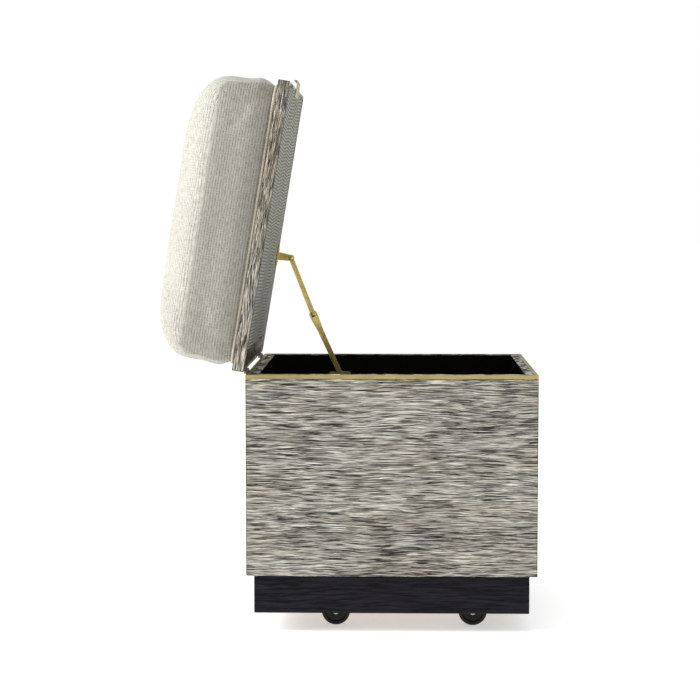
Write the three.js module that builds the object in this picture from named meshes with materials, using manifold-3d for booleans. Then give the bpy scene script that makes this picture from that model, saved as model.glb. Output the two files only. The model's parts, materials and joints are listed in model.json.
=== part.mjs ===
// Storage ottoman: a square veneered box on a recessed plinth with four swivel casters, under a hinged
// lid that carries an upholstered cushion and is held open by a folding stay.
//
// Millimetres, +Z up. The front faces -Y, the hinges are at the back (+Y), and the stay is on the right (+X).
// The lid is modelled as it stands open. The origin is on the floor, under the middle of the whole object.

import * as THREE from 'three';
import { mergeVertices } from 'three/addons/utils/BufferGeometryUtils.js';
import Module from 'manifold-3d';

const wasm = await Module();
wasm.setup();

// ---------------------------------------------------------------- driving dimensions

// Box
const WIDTH = 450;
const DEPTH = 450;
const BODY_HEIGHT = 312;
const WALL = 19;
const BOTTOM_BOARD = 15;
const LINING = 2.5;
const LINING_BELOW_RIM = 1;
const STRIP = 6; // square brass bar let into the outer edge of the rim

// Plinth and casters
const PLINTH_HEIGHT = 60;
const PLINTH_INSET = 11.5;
const PLINTH_BOARD = 18;
const CASTER_RAIL_THICKNESS = 30;
const CASTER_RAIL_WIDTH = 70;
const CASTER_FROM_SIDE = 75;
const CASTER_FROM_END = 117;
const CASTER_PLATE = 42;
const CASTER_PLATE_THICKNESS = 2.5;
const CASTER_RACE = { radius: 13, height: 4 };
const FORK_CROWN = 4; // height of the fork's pressed crown
const WHEEL_CLEARANCE = 3.5; // between the wheel and the fork's crown
const WHEEL_DIAMETER = 45;
const WHEEL_WIDTH = 18;
const CASTER_TRAIL = 20;
const CASTER_SHEET = 2; // thickness of the bent steel that the fork is made of
const AXLE_RADIUS = 3;
const KINGPIN_RADIUS = 3;

// Lid
const OPEN_ANGLE = THREE.MathUtils.degToRad(80.7);
const CLOSED_GAP = 2; // between the rim and the shut lid
const LID_THICKNESS = 17.6;
const LIPPING = 6;
const LID_PANEL = 1.5;
const LID_PANEL_FROM_SIDE = 25;
const LID_PANEL_FROM_HINGE = 33;

// Cushion
const LEDGE = 7; // bare wood outside the piping
const PIPING = 5;
const CUSHION_HEIGHT = 136;
const CUSHION_WIDEST_AT = 57; // height above the board where the sides bulge most
const CUSHION_OVERHANG = 5; // how far that bulge stands out past the piping
const CUSHION_WALL = 18;
const FOAM_CORE = 20;
const FOAM_CORNER = 30;

// Hinges
const HINGE_LENGTH = 58;
const HINGE_FROM_SIDE = 36;
const KNUCKLES = 5;
const BARREL_RADIUS = 2.5;
const HINGE_PIN_RADIUS = 1.2;
const LEAF = 1.2;
const BOX_LEAF_HEIGHT = 20;
const LID_LEAF_HEIGHT = 16;

// Pull tab
const TAB_WIDTH = 76;
const TAB_THICKNESS = 1.2;
const TAB_BEHIND_EDGE = 14;
const TAB_BEYOND_EDGE = 13;
const TAB_LIP = 6.5;

// Stay: two arms between a bracket under the lid and a bracket inside the box
const STAY_TOP_REACH = 173.7; // hinge axis to the upper pivot, along the lid
const STAY_TOP_DROP = 24.7; // underside of the lid to the upper pivot
const STAY_FOOT_REACH = 140; // hinge axis to the lower pivot, towards the front
const STAY_FOOT_DROP = 40; // rim to the lower pivot
const STAY_UPPER_SHARE = 0.464; // part of the stay's length that is the upper arm
const STAY_OVER_CENTRE = 3.2; // how far the locked elbow stands behind the straight line
const STAY_ARM = 2.5;
const UPPER_ARM_WIDTH = 8.5;
const LOWER_ARM_WIDTH = 9.7;
const PADDLE_WIDTH = 14;
const TONGUE = 20;
const STAY_PIN_RADIUS = 1.8;
const STAY_PLATE = 2;
const STAY_FOOT_PLATE = { length: 38, height: 24, above: 10, rearward: 4 };
const STAY_FLANGE = { length: 35, width: 16, thickness: 2.5 };

// Clearances
const GAP = 0.3; // between pieces that touch
const MITRE_SHIFT = GAP / Math.SQRT2; // pulls each mitred end back
const RUNNING = 0.4; // between pieces that turn on each other
const BEHIND_BOX = 0.4; // between the rear face and the hinge barrels

// ---------------------------------------------------------------- derived levels and places

const FORK_TOP = WHEEL_DIAMETER + WHEEL_CLEARANCE + FORK_CROWN;
const CASTER_TOP = FORK_TOP + RUNNING + CASTER_RACE.height + CASTER_PLATE_THICKNESS;
const BOX_BOTTOM = CASTER_TOP + GAP + CASTER_RAIL_THICKNESS + GAP;
const GROUND_CLEARANCE = BOX_BOTTOM - PLINTH_HEIGHT;
const RIM = BOX_BOTTOM + BODY_HEIGHT;
const INNER_X = WIDTH / 2 - WALL - GAP;
const INNER_Y = DEPTH / 2 - WALL - GAP;
const FLOOR_TOP = BOX_BOTTOM + BOTTOM_BOARD;
const HINGE_Y = DEPTH / 2 + BEHIND_BOX + BARREL_RADIUS;
const HINGE_Z = RIM + CLOSED_GAP / 2;
const CASTER_X = WIDTH / 2 - CASTER_FROM_SIDE;
const CASTER_Y = DEPTH / 2 - CASTER_FROM_END;
const WHEEL_RADIUS = WHEEL_DIAMETER / 2;
const PIPING_X = WIDTH / 2 - LEDGE;
const PIPING_Y = DEPTH / 2 - LEDGE;
const PIPING_CORNER = 28;
const SIDES = ['front', 'right', 'rear', 'left'];

// ---------------------------------------------------------------- finishes

function finish(color, roughness, metalness = 0) {
  return new THREE.MeshStandardMaterial({ color, roughness, metalness });
}

const OAK = finish(0x96918a, 0.8);
const STAINED = finish(0x232329, 0.6);
const PLYWOOD = finish(0xa08560, 0.8);
const DARK_BOARD = finish(0x32291f, 0.85);
const BLACK_LINING = finish(0x070706, 0.95);
const BRASS = finish(0xbfa457, 0.35, 1);
const DARK_METAL = finish(0x2a2825, 0.5, 1);
const STEEL = finish(0x9a9a98, 0.4, 1);
const RUBBER = finish(0x101010, 0.7);
const LINEN = finish(0xc4c0b4, 0.95);
const PIPING_CLOTH = finish(0xd5cfc0, 0.9);
const PANEL_CLOTH = finish(0x8c8f84, 0.9);
const FOAM = finish(0xe6dfc8, 1);

// ---------------------------------------------------------------- geometry helpers

function toSolid(geometry) {
  const bare = geometry.clone();
  bare.deleteAttribute('normal');
  bare.deleteAttribute('uv');
  const merged = mergeVertices(bare, 1e-4);
  const vertProperties = new Float32Array(merged.attributes.position.array);
  const triVerts = new Uint32Array(merged.index.array);
  return new wasm.Manifold(new wasm.Mesh({ numProp: 3, vertProperties, triVerts }));
}

function toGeometry(solid) {
  const mesh = solid.getMesh();
  const geometry = new THREE.BufferGeometry();
  geometry.setAttribute('position', new THREE.BufferAttribute(new Float32Array(mesh.vertProperties), 3));
  geometry.setIndex(new THREE.BufferAttribute(new Uint32Array(mesh.triVerts), 1));
  geometry.computeVertexNormals();
  return geometry;
}

function joined(...geometries) {
  const [first, ...rest] = geometries.map(toSolid);
  return toGeometry(rest.reduce((sum, solid) => sum.add(solid), first));
}

function cut(geometry, ...tools) {
  return toGeometry(tools.map(toSolid).reduce((rest, tool) => rest.subtract(tool), toSolid(geometry)));
}

function common(geometry, other) {
  return toGeometry(toSolid(geometry).intersect(toSolid(other)));
}

/** A block between two values on each axis. */
function block([x0, x1], [y0, y1], [z0, z1]) {
  const geometry = new THREE.BoxGeometry(x1 - x0, y1 - y0, z1 - z0);
  return geometry.translate((x0 + x1) / 2, (y0 + y1) / 2, (z0 + z1) / 2);
}

/** A round rod along X. */
function rodX(radius, x0, x1, segments = 16) {
  const geometry = new THREE.CylinderGeometry(radius, radius, x1 - x0, segments);
  return geometry.rotateZ(Math.PI / 2).translate((x0 + x1) / 2, 0, 0);
}

/** A round rod along Z. */
function rodZ(radius, z0, z1) {
  const geometry = new THREE.CylinderGeometry(radius, radius, z1 - z0, 20);
  return geometry.rotateX(Math.PI / 2).translate(0, 0, (z0 + z1) / 2);
}

/** A plan outline, given in X and Y, raised between two heights. */
function raised(shape, z0, z1, curveSegments = 5) {
  const geometry = new THREE.ExtrudeGeometry(shape, { depth: z1 - z0, bevelEnabled: false, curveSegments });
  return geometry.translate(0, 0, z0);
}

/** A side outline, given in Y and Z, spread between two X values. */
function spread(shape, x0, x1, curveSegments = 8) {
  const geometry = new THREE.ExtrudeGeometry(shape, { depth: x1 - x0, bevelEnabled: false, curveSegments });
  const yzx = new THREE.Matrix4().makeBasis(
    new THREE.Vector3(0, 1, 0),
    new THREE.Vector3(0, 0, 1),
    new THREE.Vector3(1, 0, 0),
  );
  return geometry.applyMatrix4(yzx).translate(x0, 0, 0);
}

/** A low dome on the end of a rod: flat side at x, crown towards `direction` (+1 or -1) along X. */
function domeX(radius, height, x, direction) {
  const rimHeight = height * 0.3;
  const points = [[0, 0], [radius, 0], [radius, rimHeight]].map(([r, z]) => new THREE.Vector2(r, z));
  const arc = new THREE.EllipseCurve(0, rimHeight, radius, height - rimHeight, 0, Math.PI / 2);
  points.push(...arc.getPoints(5).slice(1, -1), new THREE.Vector2(0, height));
  const dome = new THREE.LatheGeometry(points, 20);
  return dome.rotateZ(-direction * Math.PI / 2).translate(x, 0, 0);
}

/** A board of a mitred frame, in its front position: its outer face at y = -offset, lying along X. */
function mitredBar(halfLength, offset, thickness, z0, z1) {
  const outer = halfLength - MITRE_SHIFT;
  const inner = outer - thickness;
  const plan = new THREE.Shape([
    new THREE.Vector2(-outer, -offset),
    new THREE.Vector2(outer, -offset),
    new THREE.Vector2(inner, -offset + thickness),
    new THREE.Vector2(-inner, -offset + thickness),
  ]);
  return raised(plan, z0, z1);
}

function roundedRectangle(halfX, halfY, radius, Outline = THREE.Shape) {
  const outline = new Outline();
  outline.absarc(halfX - radius, halfY - radius, radius, 0, Math.PI / 2);
  outline.absarc(-halfX + radius, halfY - radius, radius, Math.PI / 2, Math.PI);
  outline.absarc(-halfX + radius, -halfY + radius, radius, Math.PI, Math.PI * 1.5);
  outline.absarc(halfX - radius, -halfY + radius, radius, Math.PI * 1.5, Math.PI * 2);
  outline.closePath();
  return outline;
}

function addPiece(parent, name, geometry, material) {
  const mesh = new THREE.Mesh(geometry, material);
  mesh.name = name;
  parent.add(mesh);
  return mesh;
}

/** Four mitred boards round a rectangle; makeBar gets half the length, the face's distance and the side. */
function addFrame(parent, name, halfX, halfY, makeBar, material) {
  SIDES.forEach((side, turn) => {
    const alongX = turn % 2 === 0;
    const bar = makeBar(alongX ? halfX : halfY, alongX ? halfY : halfX, side);
    addPiece(parent, `${name}_${side}`, bar, material).rotation.z = turn * Math.PI / 2;
  });
}

// ---------------------------------------------------------------- box

/** A wall with the rebate for the brass strip along its outer top edge. */
function wallBar(halfLength, offset) {
  const rebate = STRIP + GAP;
  const full = mitredBar(halfLength, offset, WALL, BOX_BOTTOM, RIM - rebate);
  const overlap = 1;
  const top = mitredBar(halfLength - rebate, offset - rebate, WALL - rebate, RIM - rebate - overlap, RIM);
  return joined(full, top);
}

function addBox(box) {
  addFrame(box, 'wall', WIDTH / 2, DEPTH / 2, wallBar, OAK);
  const strip = (halfLength, offset) => mitredBar(halfLength, offset, STRIP, RIM - STRIP, RIM);
  addFrame(box, 'brass_strip', WIDTH / 2, DEPTH / 2, strip, BRASS);

  const bottom = block([-INNER_X, INNER_X], [-INNER_Y, INNER_Y], [BOX_BOTTOM, FLOOR_TOP]);
  addPiece(box, 'bottom_board', bottom, PLYWOOD);

  const liningBottom = FLOOR_TOP + GAP;
  const lining = (halfLength, offset) =>
    mitredBar(halfLength, offset, LINING, liningBottom, RIM - LINING_BELOW_RIM);
  addFrame(box, 'lining', INNER_X, INNER_Y, lining, BLACK_LINING);

  const floorX = INNER_X - LINING - GAP;
  const floorY = INNER_Y - LINING - GAP;
  const floor = block([-floorX, floorX], [-floorY, floorY], [liningBottom, liningBottom + LINING]);
  addPiece(box, 'lining_floor', floor, BLACK_LINING);
}

function addPlinth(box) {
  const halfX = WIDTH / 2 - PLINTH_INSET;
  const halfY = DEPTH / 2 - PLINTH_INSET;
  const rail = (halfLength, offset) =>
    mitredBar(halfLength, offset, PLINTH_BOARD, GROUND_CLEARANCE, BOX_BOTTOM - GAP);
  addFrame(box, 'plinth_rail', halfX, halfY, rail, STAINED);

  const railX = halfX - PLINTH_BOARD - GAP;
  const railTop = BOX_BOTTOM - GAP;
  for (const [end, sign] of [['front', -1], ['rear', 1]]) {
    const y = sign * CASTER_Y;
    const railY = [y - CASTER_RAIL_WIDTH / 2, y + CASTER_RAIL_WIDTH / 2];
    const board = block([-railX, railX], railY, [railTop - CASTER_RAIL_THICKNESS, railTop]);
    addPiece(box, `caster_rail_${end}`, board, PLYWOOD);
  }
}

// ---------------------------------------------------------------- casters

const CHEEK_INNER = WHEEL_WIDTH / 2 + 0.8;

/** Top plate with four screw holes, the race under it and the kingpin, about the swivel axis. */
function casterPlate() {
  const half = CASTER_PLATE / 2;
  const outline = roundedRectangle(half, half, 4);
  const holeAt = half - 6;
  for (const [sx, sy] of [[1, 1], [-1, 1], [-1, -1], [1, -1]]) {
    outline.holes.push(new THREE.Path().absarc(sx * holeAt, sy * holeAt, 2.2, 0, Math.PI * 2));
  }
  const plateBottom = CASTER_TOP - CASTER_PLATE_THICKNESS;
  const plate = raised(outline, plateBottom, CASTER_TOP);
  const race = rodZ(CASTER_RACE.radius, plateBottom - CASTER_RACE.height, plateBottom + 1);
  const headTop = FORK_TOP - FORK_CROWN - RUNNING;
  const kingpin = rodZ(KINGPIN_RADIUS, headTop - 1, plateBottom);
  const head = rodZ(KINGPIN_RADIUS + 2.5, headTop - 2.5, headTop);
  return joined(plate, race, kingpin, head);
}

/** Outline of one fork cheek: wide at the crown and narrow round the axle, which trails towards -Y. */
function cheekOutline() {
  const top = FORK_TOP;
  const nose = 7;
  const shape = new THREE.Shape();
  shape.moveTo(CASTER_RACE.radius, top);
  shape.lineTo(-CASTER_RACE.radius, top);
  shape.lineTo(-CASTER_TRAIL - nose, WHEEL_RADIUS + nose / 2);
  shape.absarc(-CASTER_TRAIL, WHEEL_RADIUS, nose, Math.PI * 0.93, Math.PI * 1.8, false);
  shape.lineTo(CASTER_RACE.radius, top - 2 * FORK_CROWN);
  shape.closePath();
  shape.holes.push(new THREE.Path().absarc(-CASTER_TRAIL, WHEEL_RADIUS, AXLE_RADIUS + GAP, 0, Math.PI * 2));
  return shape;
}

function casterFork() {
  const outer = CHEEK_INNER + CASTER_SHEET;
  const crownShape = roundedRectangle(outer, CASTER_RACE.radius, 5);
  crownShape.holes.push(new THREE.Path().absarc(0, 0, KINGPIN_RADIUS + GAP, 0, Math.PI * 2));
  const crown = raised(crownShape, FORK_TOP - FORK_CROWN, FORK_TOP);
  const cheeks = [-1, 1].map((side) => {
    const faces = [side * CHEEK_INNER, side * outer].sort((a, b) => a - b);
    return spread(cheekOutline(), faces[0], faces[1]);
  });
  return joined(crown, ...cheeks);
}

/** Wheel about the X axis: rounded tread, dished sides and a hub with its bore. */
function casterWheel() {
  const half = WHEEL_WIDTH / 2;
  const bore = AXLE_RADIUS + GAP;
  const edge = 4;
  const hub = 8;
  const dish = 2.5;
  const rim = WHEEL_RADIUS - edge - 2;
  const profile = new THREE.Path();
  profile.moveTo(bore, -half);
  profile.lineTo(hub, -half);
  profile.lineTo(hub + 1.5, -half + dish);
  profile.lineTo(rim, -half + dish);
  profile.lineTo(rim + 1, -half + 0.5);
  profile.absarc(WHEEL_RADIUS - edge, -half + edge, edge, -Math.PI / 2, 0, false);
  profile.absarc(WHEEL_RADIUS - edge, half - edge, edge, 0, Math.PI / 2, false);
  profile.lineTo(rim + 1, half - 0.5);
  profile.lineTo(rim, half - dish);
  profile.lineTo(hub + 1.5, half - dish);
  profile.lineTo(hub, half);
  profile.lineTo(bore, half);
  profile.lineTo(bore, -half);
  return new THREE.LatheGeometry(profile.getPoints(2), 28).rotateZ(-Math.PI / 2);
}

function casterAxle() {
  const end = CHEEK_INNER + CASTER_SHEET + GAP;
  const head = 1.4;
  return joined(
    rodX(AXLE_RADIUS, -end - head / 2, end + head / 2, 20),
    rodX(AXLE_RADIUS + 1.8, -end - head, -end, 20),
    rodX(AXLE_RADIUS + 1.8, end, end + head, 20),
  );
}

function addCasters(box) {
  const shapes = { plate: casterPlate(), fork: casterFork(), wheel: casterWheel(), axle: casterAxle() };
  for (const [end, sy] of [['front', -1], ['rear', 1]]) {
    for (const [side, sx] of [['left', -1], ['right', 1]]) {
      const caster = new THREE.Group();
      caster.position.set(sx * CASTER_X, sy * CASTER_Y, 0);
      addPiece(caster, `caster_plate_${end}_${side}`, shapes.plate, DARK_METAL);
      addPiece(caster, `caster_fork_${end}_${side}`, shapes.fork, DARK_METAL);
      const wheel = addPiece(caster, `caster_wheel_${end}_${side}`, shapes.wheel, RUBBER);
      const axle = addPiece(caster, `caster_axle_${end}_${side}`, shapes.axle, STEEL);
      wheel.position.set(0, -CASTER_TRAIL, WHEEL_RADIUS);
      axle.position.copy(wheel.position);
      box.add(caster);
    }
  }
}

// ---------------------------------------------------------------- hinges

/** The stretches of the barrel that belong to one leaf: even numbers the box's, odd numbers the lid's. */
function knuckleSpans(parity, margin = 0) {
  const pitch = HINGE_LENGTH / KNUCKLES;
  const spans = [];
  for (let i = parity; i < KNUCKLES; i += 2) {
    const x0 = -HINGE_LENGTH / 2 + i * pitch + RUNNING / 2 - margin;
    const x1 = -HINGE_LENGTH / 2 + (i + 1) * pitch - RUNNING / 2 + margin;
    spans.push([x0, x1]);
  }
  return spans;
}

/** A leaf screwed to the rear face, about the hinge axis: direction -1 for the box's, +1 for the lid's. */
function hingeLeaf(direction, parity, height) {
  const face = -BARREL_RADIUS - BEHIND_BOX;
  const leafY = [face + GAP, face + GAP + LEAF];
  const ends = [direction * RUNNING / 2, direction * height].sort((a, b) => a - b);
  const plate = block([-HINGE_LENGTH / 2, HINGE_LENGTH / 2], leafY, ends);
  const others = knuckleSpans(1 - parity, RUNNING);
  const clear = others.map(([x0, x1]) => rodX(BARREL_RADIUS + RUNNING, x0, x1));
  const own = knuckleSpans(parity).map(([x0, x1]) => rodX(BARREL_RADIUS, x0, x1));
  const bore = rodX(HINGE_PIN_RADIUS + GAP, -HINGE_LENGTH, HINGE_LENGTH);
  return cut(joined(cut(plate, ...clear), ...own), bore);
}

function hingePin() {
  const end = HINGE_LENGTH / 2 + GAP;
  const head = 1;
  return joined(
    rodX(HINGE_PIN_RADIUS, -end - head / 2, end + head / 2),
    rodX(HINGE_PIN_RADIUS + 0.9, -end - head, -end),
    rodX(HINGE_PIN_RADIUS + 0.9, end, end + head),
  );
}

function addHinges(box, lid) {
  const hingeX = WIDTH / 2 - HINGE_FROM_SIDE - HINGE_LENGTH / 2;
  for (const [side, sign] of [['left', -1], ['right', 1]]) {
    const boxLeaf = addPiece(box, `hinge_box_leaf_${side}`, hingeLeaf(-1, 0, BOX_LEAF_HEIGHT), DARK_METAL);
    boxLeaf.position.set(sign * hingeX, HINGE_Y, HINGE_Z);
    const pin = addPiece(box, `hinge_pin_${side}`, hingePin(), STEEL);
    pin.position.copy(boxLeaf.position);
    const lidLeaf = addPiece(lid, `hinge_lid_leaf_${side}`, hingeLeaf(1, 1, LID_LEAF_HEIGHT), DARK_METAL);
    lidLeaf.position.set(sign * hingeX, 0, 0);
  }
}

// ---------------------------------------------------------------- lid and cushion
// Pieces of the lid are placed about the middle of its underside: z is 0 there and grows to the cushion.

/** The core board, with a shallow recess under it for the cloth panel. */
function lidBoard() {
  const halfX = WIDTH / 2 - LIPPING - GAP;
  const halfY = DEPTH / 2 - LIPPING - GAP;
  const board = block([-halfX, halfX], [-halfY, halfY], [0, LID_THICKNESS]);
  const recessX = WIDTH / 2 - LID_PANEL_FROM_SIDE + GAP;
  const recessBack = DEPTH / 2 - LID_PANEL_FROM_HINGE + GAP;
  const margin = 5;
  return cut(board, block([-recessX, recessX], [-halfY - margin, recessBack], [-margin, LID_PANEL + GAP]));
}

function lidPanel() {
  const halfX = WIDTH / 2 - LID_PANEL_FROM_SIDE;
  const front = -(DEPTH / 2 - LIPPING - GAP);
  return block([-halfX, halfX], [front, DEPTH / 2 - LID_PANEL_FROM_HINGE], [0, LID_PANEL]);
}

/** The welt cord sewn round the foot of the cushion. */
function piping() {
  const bevel = PIPING * 0.28;
  const ring = roundedRectangle(PIPING_X, PIPING_Y, PIPING_CORNER);
  const inside = roundedRectangle(PIPING_X - PIPING, PIPING_Y - PIPING, PIPING_CORNER - PIPING, THREE.Path);
  ring.holes.push(inside);
  const geometry = new THREE.ExtrudeGeometry(ring, {
    depth: PIPING - 2 * bevel,
    bevelThickness: bevel,
    bevelSize: bevel,
    bevelOffset: -bevel,
    bevelSegments: 1,
    curveSegments: 6,
  });
  return geometry.translate(0, 0, LID_THICKNESS + GAP + bevel);
}

/** A pillow about its widest level: nearly square in plan and well rounded over the top. */
function pillow(halfX, halfY, up, down) {
  const planPower = 2 / 16;
  const sidePower = 2 / 3;
  const geometry = new THREE.SphereGeometry(1, 48, 20).rotateX(Math.PI / 2);
  const position = geometry.attributes.position;
  const tiny = 1e-6;
  const signed = (value, power) => (Math.abs(value) < tiny ? 0 : Math.sign(value) * Math.abs(value) ** power);
  for (let i = 0; i < position.count; i += 1) {
    const spoke = Math.hypot(position.getX(i), position.getY(i));
    const angle = Math.atan2(position.getY(i), position.getX(i));
    const reach = signed(spoke, sidePower);
    const level = signed(position.getZ(i), sidePower);
    const x = halfX * reach * signed(Math.cos(angle), planPower);
    const y = halfY * reach * signed(Math.sin(angle), planPower);
    position.setXYZ(i, x, y, level * (level > 0 ? up : down));
  }
  return geometry;
}

/** Cover and wadding as one soft cap, open underneath where the filling sits. */
function cushion() {
  const halfX = PIPING_X + CUSHION_OVERHANG;
  const halfY = PIPING_Y + CUSHION_OVERHANG;
  const up = CUSHION_HEIGHT - CUSHION_WIDEST_AT;
  const down = 2.3 * CUSHION_WIDEST_AT;
  const outside = pillow(halfX, halfY, up, down);
  const inside = pillow(halfX - CUSHION_WALL, halfY - CUSHION_WALL, up - CUSHION_WALL, down);
  const foot = PIPING + 2 * GAP - CUSHION_WIDEST_AT;
  const above = block([-WIDTH, WIDTH], [-DEPTH, DEPTH], [foot, CUSHION_HEIGHT]);
  return common(cut(outside, inside), above).translate(0, 0, LID_THICKNESS + CUSHION_WIDEST_AT);
}

function foamCore() {
  const halfX = PIPING_X - PIPING - CUSHION_WALL;
  const halfY = PIPING_Y - PIPING - CUSHION_WALL;
  const bottom = LID_THICKNESS + GAP;
  return raised(roundedRectangle(halfX, halfY, FOAM_CORNER), bottom, bottom + FOAM_CORE);
}

/** Bent brass tab under the front edge: a plate against the underside and a lip turned up past the edge. */
function pullTab() {
  const edge = -DEPTH / 2;
  const top = -GAP;
  const lipY = edge - TAB_BEYOND_EDGE;
  const plate = block(
    [-TAB_WIDTH / 2, TAB_WIDTH / 2],
    [lipY, edge + TAB_BEHIND_EDGE],
    [top - TAB_THICKNESS, top],
  );
  const lip = block(
    [-TAB_WIDTH / 2, TAB_WIDTH / 2],
    [lipY, lipY + TAB_THICKNESS],
    [top - TAB_THICKNESS, top - TAB_THICKNESS + TAB_LIP],
  );
  return joined(plate, lip);
}

function addLid(lid) {
  addPiece(lid, 'lid_board', lidBoard(), DARK_BOARD);
  const lipping = (halfLength, offset) => mitredBar(halfLength, offset, LIPPING, 0, LID_THICKNESS);
  addFrame(lid, 'lid_lipping', WIDTH / 2, DEPTH / 2, lipping, OAK);
  addPiece(lid, 'lid_panel', lidPanel(), PANEL_CLOTH);
  addPiece(lid, 'piping', piping(), PIPING_CLOTH);
  addPiece(lid, 'foam_core', foamCore(), FOAM);
  addPiece(lid, 'cushion', cushion(), LINEN);
  addPiece(lid, 'pull_tab', pullTab(), BRASS);
}

// ---------------------------------------------------------------- stay
// The stay works in planes across X, counted inwards from the lined right-hand wall.

const STAY_WALL_X = INNER_X - LINING;
const FOOT_PLATE_X = STAY_WALL_X - GAP - STAY_PLATE;
const LOWER_ARM_X = FOOT_PLATE_X - STAY_PLATE - STAY_ARM;
const UPPER_ARM_X = LOWER_ARM_X - RUNNING - STAY_ARM;
const EAR_X = UPPER_ARM_X - RUNNING - STAY_ARM;
const PIN_HEAD = { radius: 4.5, height: 1.7 };

/** The upper pivot in the shut lid's own place about the hinge axis, then turned to where it stands open. */
function stayPivots() {
  const axis = new THREE.Vector2(HINGE_Y, HINGE_Z);
  const shut = new THREE.Vector2(-STAY_TOP_REACH, CLOSED_GAP / 2 - STAY_TOP_DROP);
  const top = shut.clone().rotateAround(new THREE.Vector2(), -OPEN_ANGLE).add(axis);
  const foot = new THREE.Vector2(HINGE_Y - STAY_FOOT_REACH, RIM - STAY_FOOT_DROP);
  const line = foot.clone().sub(top);
  const rearward = new THREE.Vector2(-line.y, line.x).normalize().multiplyScalar(STAY_OVER_CENTRE);
  const elbow = top.clone().addScaledVector(line, STAY_UPPER_SHARE).add(rearward);
  return { shut, top, foot, elbow };
}

/** Straight arm along +Y from its pivot, round at both ends, with a hole at each pivot. */
function upperArmOutline(length) {
  const end = UPPER_ARM_WIDTH / 2 + 1.5;
  const half = UPPER_ARM_WIDTH / 2;
  const shape = new THREE.Shape();
  shape.absarc(0, 0, end, Math.PI * 0.25, Math.PI * 1.75, false);
  shape.absarc(length + TONGUE - half, 0, half, -Math.PI / 2, Math.PI / 2, false);
  shape.closePath();
  for (const y of [0, length]) {
    shape.holes.push(new THREE.Path().absarc(y, 0, STAY_PIN_RADIUS + GAP, 0, Math.PI * 2));
  }
  return shape;
}

/** Arm along +Y from its pivot that widens into a paddle round the elbow. */
function lowerArmOutline(length) {
  const half = LOWER_ARM_WIDTH / 2;
  const paddle = PADDLE_WIDTH / 2;
  const taper = 23;
  const shape = new THREE.Shape();
  shape.absarc(0, 0, half + 1, Math.PI * 0.25, Math.PI * 1.75, false);
  shape.lineTo(length - taper - paddle, -half);
  shape.lineTo(length - paddle, -paddle);
  shape.absarc(length, 0, paddle, -Math.PI / 2, Math.PI / 2, false);
  shape.lineTo(length - paddle, paddle);
  shape.lineTo(length - taper - paddle, half);
  shape.closePath();
  shape.holes.push(new THREE.Path().absarc(0, 0, STAY_PIN_RADIUS + GAP, 0, Math.PI * 2));
  return shape;
}

/** Screwed to the lined wall: a plate with the boss that the lower arm turns on, about the lower pivot. */
function stayFoot() {
  const { length, height, above, rearward } = STAY_FOOT_PLATE;
  const corner = 3;
  const outline = roundedRectangle(length / 2, height / 2, corner);
  const plate = spread(outline, FOOT_PLATE_X, FOOT_PLATE_X + STAY_PLATE);
  plate.translate(0, rearward, above - height / 2);
  const boss = rodX(5.5, LOWER_ARM_X + STAY_ARM + RUNNING, FOOT_PLATE_X + 1);
  const bore = rodX(STAY_PIN_RADIUS + GAP, 0, FOOT_PLATE_X + STAY_PLATE / 2);
  return cut(joined(plate, boss), bore);
}

/** Screwed under the lid: a flange along the underside and an ear that reaches down to the upper pivot. */
function stayTopBracket() {
  const { length, width, thickness } = STAY_FLANGE;
  const top = STAY_TOP_DROP - GAP;
  const earFace = EAR_X + STAY_ARM;
  const flange = block([earFace - width, earFace], [-length / 2, length / 2], [top - thickness, top]);
  const eye = 5.5;
  const neck = eye + 1.5;
  const ear = new THREE.Shape();
  ear.moveTo(neck, top - thickness / 2);
  ear.lineTo(-neck, top - thickness / 2);
  ear.lineTo(-eye, 4);
  ear.absarc(0, 0, eye, Math.PI, Math.PI * 2, false);
  ear.lineTo(eye, 4);
  ear.closePath();
  ear.holes.push(new THREE.Path().absarc(0, 0, STAY_PIN_RADIUS + GAP, 0, Math.PI * 2));
  return joined(flange, spread(ear, EAR_X, earFace));
}

/** A rivet along X: a domed head at headX on the inner side and a shank that ends at endX. */
function rivet(headX, endX) {
  const shank = rodX(STAY_PIN_RADIUS, headX - 0.5, endX);
  return joined(shank, domeX(PIN_HEAD.radius, PIN_HEAD.height, headX, -1));
}

/** Puts a piece that was drawn along +Y at a pivot of the stay, turned towards a second one. */
function aim(mesh, from, to) {
  mesh.position.set(0, from.x, from.y);
  mesh.rotation.x = Math.atan2(to.y - from.y, to.x - from.x);
}

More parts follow.
